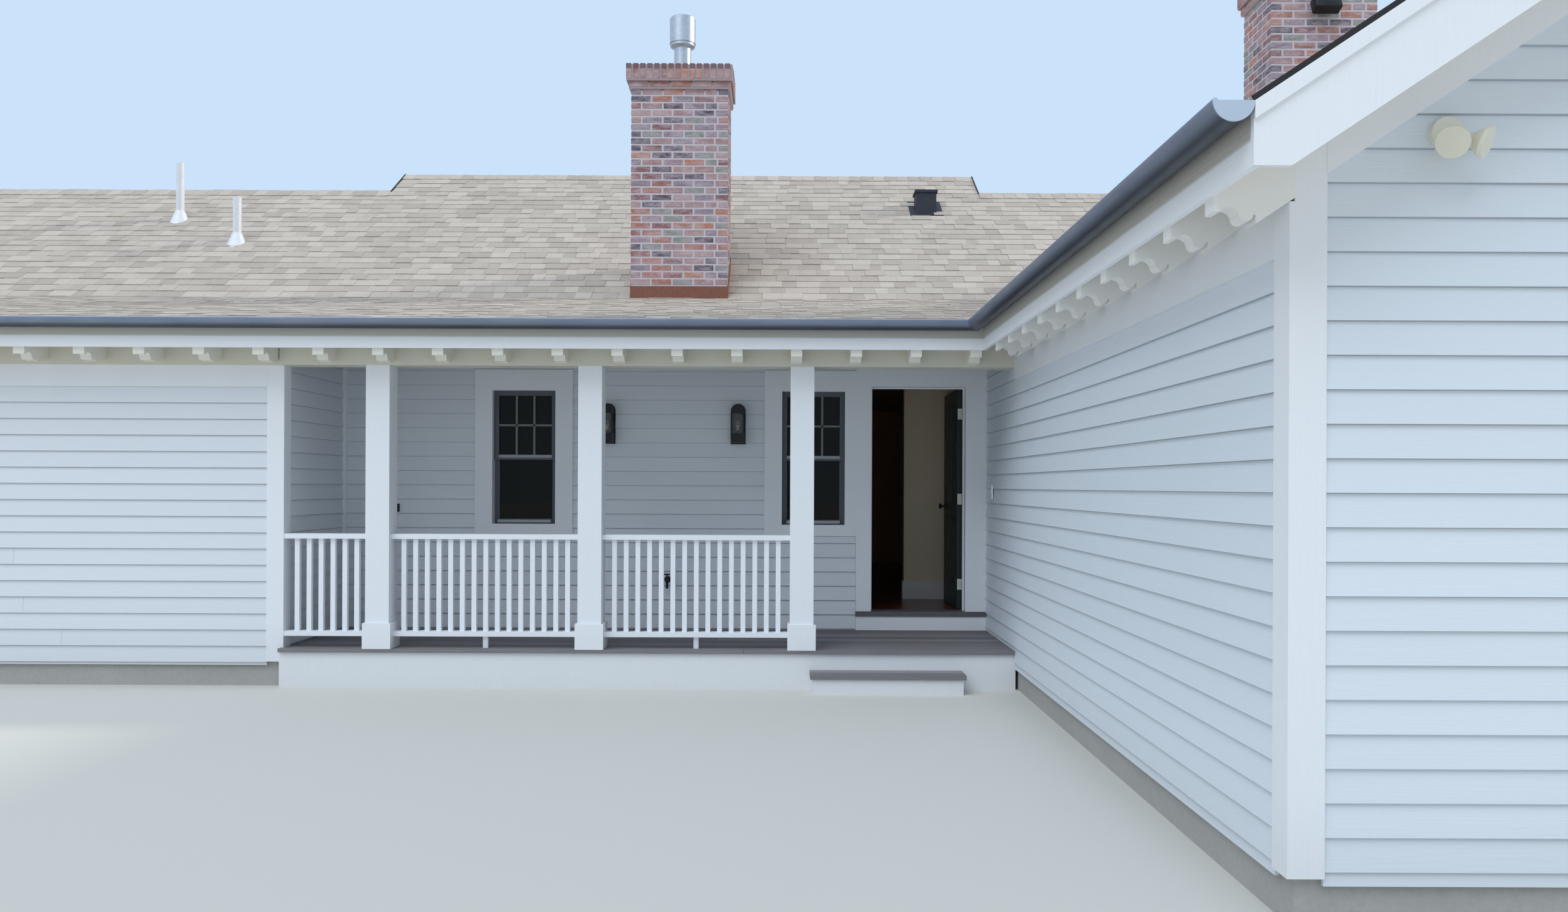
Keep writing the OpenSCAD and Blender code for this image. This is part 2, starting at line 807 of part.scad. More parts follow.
module tail_2d(run, m) {
    top_0 = eave_z + fascia_t * m - drop_of(m, roof_t) - seat_gap;
    notch_z = eave_z - tail_drop;
    foot = notch_z + m * (run - notch_out);
    bead_z = eave_z - tip_drop - cove_r / 4;
    difference() {
        union() {
            polygon([[0, top_0], [run, top_0 + m * run], [run, foot],
                [notch_out, notch_z], [notch_out, bead_z], [0, bead_z]]);
            translate([bead_out, bead_z]) circle(r = bead_r, $fn = 64);
        }
        translate([cove_out, eave_z - tip_drop - cove_r / 2]) circle(r = cove_r, $fn = 64);
        translate([-1, 0]) square([cove_out - cove_r + tip_w, eave_z - tip_drop]);
    }
}

// Tails stand in a row along X, behind a fascia at y = 0, and run back to the wall
module tail_row(x0, x1, run, m) {
    count = floor((x1 - x0 - tail_w) / tail_pitch);
    for (i = [0:count])
        along_x(x0 + i * tail_pitch, x0 + i * tail_pitch + tail_w)
            translate([fascia_t, 0]) tail_2d(run, m);
}

corner_t = 20;
porch_tail_run = beam_y - front_eave_y - fascia_t;
front_tail_run = front_eave_over - fascia_t;
side_tail_run = eave_over - fascia_t;
first_tail = left_rake + rake_t;

module rafter_tails_main() color("white") placed() {
    front_first = first_tail + tail_start;
    porch_first = front_first + ceil((return_x - front_first) / tail_pitch) * tail_pitch;
    translate([0, front_eave_y, 0]) {
        tail_row(front_first, porch_first - 1, front_tail_run, low);
        tail_row(porch_first, -eave_over + fascia_t, porch_tail_run, low);
    }
    translate([0, rear_eave_y, 0]) rotate([0, 0, 180])
        tail_row(-bump_left + rake_over, -first_tail, side_tail_run, steep);
    translate([0, raised_eave_y, 0]) rotate([0, 0, 180])
        tail_row(-bump_right, -bump_left, side_tail_run, steep);
}

// The first tail on each side is flush with the front corner boards
module rafter_tails_wing() color("white") placed() {
    translate([-eave_over, 0, 0]) mirror([1, -1, 0])
        tail_row(wing_y - corner_t, front_eave_y - tail_w, side_tail_run, wing_slope);
    translate([wing_w + eave_over, 0, 0]) rotate([0, 0, 90])
        tail_row(wing_y - corner_t, rear_y + corner_t + 1, side_tail_run, wing_slope);
}

// Porch posts and railings

posts_x = [for (i = [0:2]) -post_right - i * post_pitch];

module porch_posts() color("white") placed() for (x = posts_x) {
    translate([x - post_w / 2, beam_y, deck_top]) cube([post_w, post_w, beam_z - deck_top]);
    translate([x - post_base_w / 2, -post_line - post_base_w / 2, deck_top])
        cube([post_base_w, post_base_w, post_base_h]);
}

// One railing between x0 and x1, with evenly spaced balusters
module railing(x0, x1, foot) {
    count = max(round((x1 - x0 - baluster_pitch) / baluster_pitch), 1);
    step = (x1 - x0) / (count + 1);
    for (z = [rail_bottom, rail_top - rail_t])
        box(x0, x1, -post_line - rail_w / 2, -post_line + rail_w / 2, z, z + rail_t);
    for (i = [1:count])
        box(x0 + i * step - baluster_w / 2, x0 + i * step + baluster_w / 2,
            -post_line - baluster_w / 2, -post_line + baluster_w / 2,
            rail_bottom + rail_t, rail_top - rail_t);
    if (foot) box((x0 + x1 - rail_t) / 2, (x0 + x1 + rail_t) / 2,
        -post_line - rail_t / 2, -post_line + rail_t / 2, deck_top, rail_bottom);
}

module porch_railings() color("white") placed() difference() {
    union() {
        railing(return_x + corner_t, posts_x[2] - post_w / 2, false);
        for (i = [1, 2])
            railing(posts_x[i] + post_w / 2, posts_x[i - 1] - post_w / 2, true);
    }
    for (x = posts_x)
        box(x - post_base_w / 2, x + post_base_w / 2, -post_line - post_base_w / 2,
            -post_line + post_base_w / 2, deck_top, deck_top + post_base_h);
}

// Corner boards: two boards that cover a corner of the walls

corner_front = 138;
corner_side = 130;

// sx and sy say which way the corner points; the front board faces sy
module corner_board(x, y, sx, sy, z0, front_top, side_top) {
    translate([x, y, 0]) scale_to(sx, sy) {
        box(-corner_front + corner_t, corner_t, 0, corner_t, z0, front_top);
        box(0, corner_t, -corner_side + corner_t, corner_t, z0, side_top);
    }
}

module scale_to(sx, sy) {
    mirror([sx < 0 ? 1 : 0, 0, 0]) mirror([0, sy < 0 ? 1 : 0, 0]) children();
}

// Height of a tail's lower edge where it meets a corner board
function tail_foot(over, m) = eave_z - tail_drop + m * (over - fascia_t - corner_t - notch_out);
wing_tail_foot = tail_foot(eave_over, wing_slope);
rear_tail_foot = tail_foot(eave_over, steep);
front_tail_foot = tail_foot(front_eave_over, low);

module corner_boards() color("white") placed() {
    corner_board(0, wing_y, -1, -1, side_z, wing_tail_foot, wing_tail_foot);
    corner_board(wing_w, wing_y, 1, -1, side_z, wing_tail_foot, wing_tail_foot);
    corner_board(wing_w, rear_y, 1, 1, side_z, wing_tail_foot, wing_tail_foot);
    corner_board(left_x, front_y, -1, -1, side_z, front_tail_foot, front_tail_foot);
    corner_board(left_x, rear_y, -1, 1, side_z, rear_tail_foot, rear_tail_foot);
    corner_board(bump_left, bump_y, -1, 1, side_z, rear_tail_foot, rear_tail_foot);
    corner_board(bump_right, bump_y, 1, 1, side_z, rear_tail_foot, rear_tail_foot);
    // Upper stretches of the wing's front boards, from the tails to the roof
    intersection() {
        for (x = [0, wing_w - corner_front + corner_t])
            box(x, x + corner_front - corner_t, wing_y - corner_t, wing_y,
                wing_tail_foot, far);
        below_wing(roof_t);
    }
    // The board beside the porch stands on the deck past its own wall
    corner_board(return_x, front_y, 1, -1, deck_top, beam_z, beam_z);
    for (z = [[side_z, deck_top], [beam_z, front_tail_foot]])
        box(return_x - corner_front + corner_t, return_x, front_y - corner_t, front_y,
            z[0], z[1]);
}

// Front door

reveal = 10;
head_top = porch_ceiling_z;
riser_t = 28;
sill_t = 46;
sill_out = 40;
pin_x = jamb_right + 2;
pin_y = wall_t + 7;
leaf_w = door_w - 2 * leaf_gap;
leaf_z = floor_top + leaf_gap;
leaf_top = door_head - leaf_gap;
stop_t = 12;
hinge_leaf_t = 2;
hinge_leaf_w = 36;
stop_w = 40;
hinge_end = 180;
hinge_wrap = 6;
hinges_z = [leaf_z + hinge_end, (leaf_z + leaf_top - hinge_h) / 2,
    leaf_top - hinge_end - hinge_h];
knuckle_h = hinge_h / 3;
knuckle_gap = 1;

// Frame, stop and casing in one: the frame lines the opening, the casing faces the porch
module door_surround() color("white") placed() {
    difference() {
        union() {
            box(jamb_left - frame_t, jamb_right + frame_t, -casing_t, wall_t,
                floor_top, door_head + frame_t);
            box(jamb_left - door_casing, 0, -casing_t, 0, floor_top, head_top);
        }
        box(jamb_left, jamb_right, -wall_t, 2 * wall_t, floor_top - 1, door_head);
    }
    // Door stop, 5 mm or more outside the closed leaf
    difference() {
        box(jamb_left, jamb_right, wall_t - leaf_t - leaf_gap - stop_w,
            wall_t - leaf_t - leaf_gap, floor_top, door_head);
        box(jamb_left + stop_t, jamb_right - stop_t, -wall_t, 2 * wall_t,
            floor_top - 1, door_head - stop_t);
    }
    // Jamb halves of the hinges: the two end knuckles and their plate
    for (z = hinges_z) {
        box(jamb_right - hinge_leaf_t, jamb_right, wall_t - hinge_leaf_w,
            wall_t - knuckle_gap, z, z + hinge_h);
        for (k = [0, 2]) translate([pin_x, pin_y, z + k * knuckle_h]) hinge_knuckle();
        for (k = [0, 2])
            box(jamb_right - hinge_leaf_t, jamb_right, wall_t - knuckle_gap, pin_y,
                z + k * knuckle_h, z + (k + 1) * knuckle_h);
    }
}

module hinge_knuckle() {
    cylinder(r = hinge_r, h = knuckle_h, $fn = 48);
}

module door_sill() color("lightgray") placed() {
    box(jamb_left - frame_t, jamb_right + frame_t, 0, wall_t, side_z, floor_top);
    box(jamb_left - door_casing, 0, -sill_out, 0, floor_top - sill_t, floor_top);
    box(jamb_left - door_casing, 0, -riser_t, 0, deck_top, floor_top - sill_t);
}

// The leaf is drawn closed and turned open about its hinge pins
module opened() {
    translate([pin_x, pin_y, 0]) rotate([0, 0, -door_angle]) translate([-pin_x, -pin_y, 0])
        children();
}

leaf_left = jamb_left + leaf_gap;
leaf_right = jamb_right - leaf_gap;

stile_w = 120;
bottom_rail = 240;
lock_rail_z = 860;
panel_depth = 9;
panel_field = 34;
panel_w = (leaf_w - 3 * stile_w) / 2;
panels_z = [[bottom_rail, lock_rail_z], [lock_rail_z + stile_w, leaf_top - leaf_z - stile_w]];

// The sunk border round one raised panel, in both faces of the leaf
module panel_groove(x, z0, z1) {
    for (y = [wall_t - leaf_t - 1, wall_t - panel_depth]) difference() {
        box(x, x + panel_w, y, y + panel_depth + 1, z0, z1);
        box(x + panel_field, x + panel_w - panel_field, -far, far,
            z0 + panel_field, z1 - panel_field);
    }
}

module door_leaf() color("darkslategray") placed() opened() difference() {
    box(leaf_left, leaf_right, wall_t - leaf_t, wall_t, leaf_z, leaf_top);
    for (x = [leaf_left + stile_w, leaf_left + 2 * stile_w + panel_w], z = panels_z)
        panel_groove(x, leaf_z + z[0], leaf_z + z[1]);
}

module door_hinges() color("silver") placed() opened() for (z = hinges_z) {
    z0 = z + knuckle_h + knuckle_gap;
    h = knuckle_h - 2 * knuckle_gap;
    translate([pin_x, pin_y, z0]) cylinder(r = hinge_r, h = h, $fn = 48);
    box(leaf_right - hinge_wrap, pin_x, wall_t, wall_t + hinge_leaf_t, z0, z0 + h);
}

knob_in = 70;
knob_rose_h = 7;
knob_neck_r = 10;
knob_neck = 34;
knob_d = 30;
knob_edge = 4;

module knob_half() {
    rotate([90, 0, 0]) rotate_extrude($fn = 64)
        polygon([[0, 0], [knob_r, 0], [knob_r, knob_rose_h], [knob_neck_r, knob_rose_h],
            [knob_neck_r, knob_neck], [knob_r - knob_edge, knob_neck + knob_edge],
            [knob_r, knob_neck + knob_d / 2],
            [knob_r - knob_edge, knob_neck + knob_d - knob_edge], [0, knob_neck + knob_d]]);
}

module door_knob() color("silver") placed() opened()
    translate([leaf_left + knob_in, 0, floor_top + knob_h]) {
        translate([0, wall_t - leaf_t, 0]) knob_half();
        translate([0, wall_t, 0]) mirror([0, 1, 0]) knob_half();
    }

// Chimneys and what stands on the roofs

chimney_front = break_y;
chimney_left = -chimney_out - chimney_w;
wing_chimney_y = -wing_chimney_front;
corbel_h = 70;
corbel_out = 22;

module chimney_shaft(w, d, top) {
    box(0, w, 0, d, 0, top);
    box(-corbel_out, w + corbel_out, -corbel_out, d + corbel_out,
        top - cap_h - corbel_h, top - cap_h);
    box(-cap_out, w + cap_out, -cap_out, d + cap_out, top - cap_h, top);
}

module chimneys() color("indianred") placed() {
    difference() {
        translate([chimney_left, chimney_front, 0])
            chimney_shaft(chimney_w, chimney_d, chimney_top);
        below_main(0);
    }
    difference() {
        translate([wing_chimney_out, wing_chimney_y, 0])
            chimney_shaft(chimney_w, chimney_d, wing_chimney_top);
        below_wing(0);
    }
}

module flashing_box() {
    difference() {
        box(-flashing_t, chimney_w + flashing_t, -flashing_t, chimney_d + flashing_t, 0, far);
        box(0, chimney_w, 0, chimney_d, -1, far + 1);
    }
}

module chimney_flashing() color("peru") placed() {
    difference() {
        intersection() {
            translate([chimney_left, chimney_front, 0]) flashing_box();
            below_main(-flashing_h);
        }
        below_main(0);
    }
    difference() {
        intersection() {
            translate([wing_chimney_out, wing_chimney_y, 0]) flashing_box();
            below_wing(-flashing_h);
        }
        below_wing(0);
    }
}

flue_cone_h = 22;
flue_rim_h = 26;
flue_rim_in = 7;
flue_edge = 12;

// A round pipe whose wider cap starts in a cone and a narrower rim
module flue(top) {
    cap_top = flue_h + flue_cap_h;
    rim_r = flue_cap_r - flue_rim_in;
    rim_z = flue_h + flue_cone_h + flue_rim_h;
    translate([chimney_w / 2, chimney_d / 2, top]) rotate_extrude($fn = 64)
        polygon([[0, 0], [flue_r, 0], [flue_r, flue_h], [rim_r, flue_h + flue_cone_h],
            [rim_r, rim_z], [flue_cap_r, rim_z], [flue_cap_r, cap_top - flue_edge],
            [flue_cap_r - flue_edge, cap_top], [0, cap_top]]);
}

module flue_pipes() color("silver") placed() {
    translate([chimney_left, chimney_front, 0]) flue(chimney_top);
    translate([wing_chimney_out, wing_chimney_y, 0]) flue(wing_chimney_top);
}

// Vent pipes: place on the roof and height above the roof
vents = [[-tall_vent_out, ridge_y - tall_vent_down, tall_vent_h],
    [-short_vent_out, ridge_y - short_vent_down, short_vent_h]];
collar_h = 90;
collar_w = 45;
collar_lip = 6;
collar_foot = 120;

function roof_z(y) = ridge_z - (ridge_y - y) * steep;

module vent_pipes() color("gainsboro") placed() difference() {
    for (v = vents) translate([v[0], v[1], 0]) {
        cylinder(r = vent_r, h = roof_z(v[1]) + v[2], $fn = 48);
        translate([0, 0, roof_z(v[1]) - collar_foot])
            cylinder(r1 = vent_r + 2 * collar_w, r2 = vent_r + collar_lip,
                h = collar_foot + collar_h, $fn = 48);
    }
    below_main(0);
}

box_vent_x = -box_vent_out;
box_vent_y = ridge_y - box_vent_down;

vent_lid_h = 30;
vent_lid_out = 14;
vent_flange_t = 6;
vent_flange_out = 60;

module vent_box(out, z0, z1) {
    box(box_vent_x - box_vent_w / 2 - out, box_vent_x + box_vent_w / 2 + out,
        box_vent_y - box_vent_w / 2 - out, box_vent_y + box_vent_w / 2 + out, z0, z1);
}

// A box under a lid that stands out, on a flange that follows the roof
module roof_vent() color("black") placed() {
    lid_top = roof_z(box_vent_y) + box_vent_h;
    difference() {
        union() {
            vent_box(-vent_lid_out, 0, lid_top - vent_lid_h);
            vent_box(0, lid_top - vent_lid_h, lid_top);
        }
        below_main(0);
    }
    intersection() {
        vent_box(vent_flange_out, 0, far);
        difference() {
            below_main(-vent_flange_t);
            below_main(0);
        }
    }
}

// Wall lamps beside the windows and the lights high on the wing

right_lamp_gap = 692;
left_lamp_gap = 769;
lamps_x = [-window_2_out - right_lamp_gap, -window_1_out + left_lamp_gap];
lamp_d = 120;
lamp_plate_t = 20;
lamp_inset = 10;
lamp_bar = 12;
lamp_window_z = 95;
lamp_window_top = 275;
bulb_r = 27;
bulb_neck_r = 13;

// Each lamp is a lantern on a plate with an arched top. Its front and sides are open
// between four bars, and a bulb stands in it.
module wall_lamps() color("black") placed() for (x = lamps_x) translate([x, 0, lamp_z]) {
    w = lamp_w / 2 - lamp_inset;
    y_front = -lamp_plate_t - lamp_d;
    bulb_z = (lamp_window_z + lamp_window_top) / 2;
    along_y(-lamp_plate_t, 0) lamp_2d(lamp_w);
    difference() {
        along_y(y_front, -lamp_plate_t) lamp_2d(2 * w);
        box(lamp_bar - w, w - lamp_bar, y_front - 1, -lamp_plate_t,
            lamp_window_z, lamp_window_top);
        box(-w - 1, w + 1, y_front + lamp_bar, -lamp_plate_t - lamp_bar,
            lamp_window_z, lamp_window_top);
    }
    translate([0, y_front + lamp_d / 2, lamp_window_z - 1])
        rotate_extrude($fn = 48) bulb_2d(bulb_z - lamp_window_z + 1);
}

module bulb_2d(z) {
    square([bulb_neck_r, z]);
    intersection() {
        translate([0, z]) circle(r = bulb_r, $fn = 48);
        translate([0, z - bulb_r]) square([bulb_r, 2 * bulb_r]);
    }
}

module lamp_2d(w) {
    translate([-w / 2, (lamp_w - w) / 2]) square([w, lamp_h - lamp_w / 2 - (lamp_w - w) / 2]);
    translate([0, lamp_h - lamp_w / 2]) circle(r = w / 2, $fn = 64);
}

light_x = 551;
light_z = 2923;
light_base_r = 60;
light_base_d = 35;
light_arm_r = 15;
light_arm_d = 75;
light_rise = 40;
light_swing = 42;
light_tilt = 68;
light_joint_r = 33;
head_neck_r = 22;
head_neck = 32;
head_bell = 78;
head_rim = 14;
head_r = 56;
sensor_r = 17;
sensor_h = 44;

// A round base on the wall and an arm that carries two bell-shaped heads and a sensor
module security_lights() color("whitesmoke") placed() translate([light_x, wing_y, light_z]) {
    rotate([90, 0, 0]) cylinder(r = light_base_r, h = light_base_d, $fn = 48);
    translate([0, -light_base_d, -light_rise]) {
        rotate([90, 0, 0]) cylinder(r = light_arm_r, h = light_arm_d, $fn = 32);
        translate([0, -light_arm_d, 0]) {
            sphere(r = light_joint_r, $fn = 48);
            translate([0, 0, -light_joint_r - sensor_h / 2]) cylinder(r = sensor_r,
                h = sensor_h, $fn = 32);
            for (side = [1, -1])
                rotate([0, 0, -side * light_swing]) rotate([0, side * (180 - light_tilt), 0])
                    light_head();
        }
    }
}

module light_head() rotate_extrude($fn = 48)
    polygon([[0, 0], [head_neck_r, 0], [head_neck_r, head_neck], [head_r, head_bell],
        [head_r, head_bell + head_rim], [0, head_bell + head_rim]]);

foundation_main();
foundation_wing();
floor_main();
floor_wing();
porch_deck();
porch_skirt();
step_tread();
step_riser();
wall_front_left();
wall_porch_return();
wall_porch_windows();
wall_door_head();
wall_door_right();
wall_left_gable();
wall_rear_left();
wall_bump_rear();
walls_bump_sides();
raised_cheeks();
wall_wing_left();
wall_wing_front();
wall_wing_right();
wall_wing_rear();
hall_partition();
ceiling_main();
ceiling_wing();
porch_ceiling();
roof_low_front();
roof_main_front();
roof_main_rear();
roof_raised();
roof_wing_left();
roof_wing_right();
fascias();
rake_boards();
rafter_tails_main();
rafter_tails_wing();
gutters();
porch_beam();
porch_posts();
porch_railings();
corner_boards();
window_surrounds();
window_sashes();
window_glass();
door_surround();
door_sill();
door_leaf();
door_hinges();
door_knob();
chimneys();
chimney_flashing();
flue_pipes();
vent_pipes();
roof_vent();
wall_lamps();
security_lights();
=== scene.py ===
# %% [markdown]
# # A clapboard bungalow with a recessed porch
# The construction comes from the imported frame: walls, roof slabs, posts and door are already
# there at their real size. This lesson dresses them. It adds what a carpenter, a roofer and a
# mason add at the end (boards, shingles, bricks, window bars) and gives each surface its finish.

# %% Load the frame
import math
import random
from collections import namedtuple

import bmesh
import bpy
import numpy as np
from mathutils import Matrix, Vector


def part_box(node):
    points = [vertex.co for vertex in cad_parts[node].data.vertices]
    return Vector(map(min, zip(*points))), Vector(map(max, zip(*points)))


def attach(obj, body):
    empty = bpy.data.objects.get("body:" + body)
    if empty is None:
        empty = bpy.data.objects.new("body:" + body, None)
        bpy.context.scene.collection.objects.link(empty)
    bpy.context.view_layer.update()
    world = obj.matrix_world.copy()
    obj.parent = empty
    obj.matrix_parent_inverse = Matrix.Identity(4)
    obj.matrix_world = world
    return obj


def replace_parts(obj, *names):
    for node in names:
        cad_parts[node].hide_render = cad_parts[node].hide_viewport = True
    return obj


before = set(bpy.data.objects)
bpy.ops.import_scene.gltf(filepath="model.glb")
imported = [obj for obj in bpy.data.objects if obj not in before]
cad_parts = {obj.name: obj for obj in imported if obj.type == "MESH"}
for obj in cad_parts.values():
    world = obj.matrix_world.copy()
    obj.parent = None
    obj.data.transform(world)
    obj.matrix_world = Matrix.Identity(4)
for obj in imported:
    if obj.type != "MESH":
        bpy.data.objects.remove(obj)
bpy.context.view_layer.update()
scene = bpy.context.scene

# %% [markdown]
# ## Reading sizes from the frame
# Each place below comes from the box of a node, so the dressing follows the construction. A
# node may hold several solids, such as all the panes, so one helper finds each solid's own box
# by walking from vertex to vertex along the edges.

# %% Boxes of nodes and of the solids in them
def low(node):
    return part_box(node)[0]


def high(node):
    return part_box(node)[1]


def solids(node):
    """The lowest and highest corner of each separate solid in a node, in a fixed order."""
    bm = bmesh.new()
    bm.from_mesh(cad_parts[node].data)
    bmesh.ops.remove_doubles(bm, verts=bm.verts, dist=1e-5)
    found, seen = [], set()
    for first in bm.verts:
        group, waiting = [], [first]
        while waiting:
            vert = waiting.pop()
            if vert not in seen:
                seen.add(vert)
                group.append(vert.co.copy())
                waiting += [edge.other_vert(vert) for edge in vert.link_edges]
        if group:
            found.append([Vector([pick(axis) for axis in zip(*group)]) for pick in (min, max)])
    bm.free()
    return sorted(found, key=lambda box: tuple(round(c, 3) for c in box[0]))


# %% Lines of the plan
left_x, right_x = low("wall_left_gable").x, high("wall_wing_right").x
wing_x, wing_y = low("wall_wing_left").x, low("wall_wing_front").y
front_y, porch_y = low("wall_front_left").y, low("wall_porch_windows").y
return_x, rear_y = high("wall_porch_return").x, high("wall_rear_left").y
bump_left, bump_right = low("walls_bump_sides").x, high("walls_bump_sides").x
bump_y = high("wall_bump_rear").y
foundation_z, deck_z = high("foundation_main").z, high("porch_deck").z
floor_z, porch_ceiling_z = high("floor_main").z, low("porch_ceiling").z
beam_y, beam_z = low("porch_beam").y, low("porch_beam").z

# %% Lines of the roof
fascia_t, fascia_drop, rake_t = 0.025, 0.003, 0.038
eave_z = high("fascias").z + fascia_drop
left_rake, wing_rake = low("rake_boards").x, low("rake_boards").y
wing_rear_rake = high("roof_wing_right").y + rake_t
eave_y = low("roof_low_front").y - fascia_t
break_y, break_z = low("roof_main_front").y, high("roof_low_front").z
ridge_y, ridge_z = high("roof_main_front").y, high("roof_main_front").z
rear_eave_y = high("roof_main_rear").y + fascia_t
raised_eave_y, raised_z = high("roof_raised").y + fascia_t, high("roof_raised").z
steep = (ridge_z - break_z) / (ridge_y - break_y)
shallow = (break_z - eave_z) / (break_y - eave_y)
raised_y = raised_eave_y - (raised_z - eave_z) / steep
raised_left, raised_right = low("roof_raised").x - rake_t, high("roof_raised").x + rake_t
wing_mid = (wing_x + right_x) / 2
wing_eave_right = high("roof_wing_right").x + fascia_t
wing_slope = (ridge_z - eave_z) / (wing_eave_right - wing_mid)
print("slopes", round(steep, 3), round(shallow, 3), round(wing_slope, 3))

# %% [markdown]
# ## The camera
# The picture was taken square to the porch wall, from eye height, with the frame moved up a
# little so that the posts stay upright. That is a level camera with a small vertical shift. The
# floor lines fall slightly to the right, which is a roll of about a quarter of a degree.

# %% Camera
def new_object(name, data):
    made = bpy.data.objects.new(name, data)
    scene.collection.objects.link(made)
    return made


photo_w, photo_h = 2520, 1465
focal_px, horizon_px, sensor_mm = 1825, 781, 36
left_of_wing, before_porch, eye_height, roll = 1.863, 10.430, 1.628, -0.23
lens = bpy.data.cameras.new("camera")
lens.sensor_width = sensor_mm
lens.lens = sensor_mm * focal_px / photo_w
lens.shift_y = (horizon_px - photo_h / 2) / photo_w
lens.clip_end = 300
scene.camera = new_object("camera", lens)
scene.camera.location = (wing_x - left_of_wing, porch_y - before_porch, eye_height)
scene.camera.rotation_euler = (math.radians(90), math.radians(roll), 0)
print("lens", round(lens.lens, 2), "mm")

# %% [markdown]
# ## Shader maths as plain expressions
# A finish is a small network of nodes. Written as Python expressions it stays readable: a Wire
# stands for a socket, and adding or multiplying wires adds the Math nodes. All other nodes come
# from one method, which sets a node's options first and then its sockets. A colour is written
# as it is read off a screen, from 0 to 255, and made linear when it reaches its socket.

# %% Wires
def by_maths(operation, swapped=False):
    """A method for Wire that adds a Math node with two inputs."""
    def act(self, other):
        pair = (other, self) if swapped else (self, other)
        return self.network.node("ShaderNodeMath", {"operation": operation}, dict(enumerate(pair)))
    return act


class Wire:
    """A shader socket that takes part in arithmetic."""

    __add__ = __radd__ = by_maths("ADD")
    __mul__ = __rmul__ = by_maths("MULTIPLY")
    __sub__, __rsub__ = by_maths("SUBTRACT"), by_maths("SUBTRACT", swapped=True)
    __truediv__, __rtruediv__ = by_maths("DIVIDE"), by_maths("DIVIDE", swapped=True)
    __gt__, __lt__ = by_maths("GREATER_THAN"), by_maths("LESS_THAN")
    larger = by_maths("MAXIMUM")

    def __init__(self, network, socket):
        self.network, self.socket = network, socket

    def fraction(self):
        return self.network.node("ShaderNodeMath", {"operation": "FRACT"}, {0: self})


def shade(red, green, blue):
    linear = [((value / 255 + 0.055) / 1.055) ** 2.4 if value > 10 else value / 3295
              for value in (red, green, blue)]
    return (*linear, 1.0)


# %% Networks
class Network:
    """A tree of shader nodes that is being made."""

    def __init__(self, owner, output):
        owner.use_nodes = True
        self.tree = owner.node_tree
        self.tree.nodes.clear()
        self.end = self.tree.nodes.new(output).inputs["Surface"]

    def node(self, kind, settings=(), inputs=(), output=0):
        node = self.tree.nodes.new(kind)
        for key, value in dict(settings).items():
            if key == "stops":
                self.fill_ramp(node.color_ramp, value)
            else:
                setattr(node, key, value)
        for key, value in dict(inputs).items():
            self.connect(node.inputs[key], value)
        return Wire(self, node.outputs[output])

    def fill_ramp(self, ramp, stops):
        while len(ramp.elements) < len(stops):
            ramp.elements.new(1)
        for element, (place, colour) in zip(ramp.elements, stops):
            element.position, element.color = place, shade(*colour)

    def connect(self, socket, value):
        if isinstance(value, Wire):
            self.tree.links.new(value.socket, socket)
        elif socket.type == "RGBA" and len(value) == 3:
            socket.default_value = shade(*value)
        else:
            socket.default_value = value


# %% Finishes
finishes = {}


class Finish(Network):
    """A material that is being made, kept under its name in finishes."""

    def __init__(self, name):
        finishes[name] = bpy.data.materials.new(name)
        super().__init__(finishes[name], "ShaderNodeOutputMaterial")

    def place(self, stretch=(1, 1, 1)):
        """Object coordinates in metres, stretched along the axes."""
        spot = self.node("ShaderNodeTexCoord", output="Object")
        return self.node("ShaderNodeVectorMath", {"operation": "MULTIPLY"}, {0: spot, 1: stretch})

    def axis(self, name):
        return self.node("ShaderNodeSeparateXYZ", inputs={0: self.place()}, output=name)

    def noise(self, scale, stretch=(1, 1, 1), detail=3.0, roughness=0.55):
        return self.node("ShaderNodeTexNoise", inputs={
            "Vector": self.place(stretch), "Scale": scale, "Detail": detail, "Roughness": roughness})

    def tone(self):
        """A number from 0 to 1 that each board, shingle or brick carries."""
        return self.node("ShaderNodeAttribute", {"attribute_name": "tone"}, output="Fac")

    def mix(self, share, first, second):
        return self.node("ShaderNodeMix", {"data_type": "RGBA"}, {0: share, 6: first, 7: second},
                         output=2)

    def ramp(self, value, stops, interpolation="LINEAR"):
        wire = self.node("ShaderNodeValToRGB", {"stops": stops}, {0: value})
        wire.socket.node.color_ramp.interpolation = interpolation
        return wire

    def fade(self, value, start, end, at_start, at_end):
        return self.node("ShaderNodeMapRange", {"clamp": True},
                         dict(enumerate((value, start, end, at_start, at_end))))

    def surface(self, colour, roughness, bump=None, bump_depth=0.001, **sockets):
        inputs = {"Base Color": colour, "Roughness": roughness}
        inputs.update({key.replace("_", " "): value for key, value in sockets.items()})
        if bump:
            inputs["Normal"] = self.node("ShaderNodeBump",
                                         inputs={"Distance": bump_depth, "Height": bump})
        self.connect(self.end, self.node("ShaderNodeBsdfPrincipled", inputs=inputs))


# %% [markdown]
# ## Paint
# White house paint is never one flat value. The wood's grain shows through as a fine ripple,
# each board took the paint a little differently, and rain splashes grey the lowest boards. The
# grain is noise stretched along the board, used for the bump and a little for the colour. On the
# clapboards a grey-blue line of painted shade lies in the lap under each lower edge, where the
# board above throws its shadow. The courses stand at known heights, so a point's height alone
# tells whether it lies in a lap.

# %% Painted wood
Courses = namedtuple("Courses", "line height")
main_courses, wing_courses = Courses(1.630, 0.1306), Courses(2.495, 0.1262)
lap_above, lap_below = 0.001, 0.003


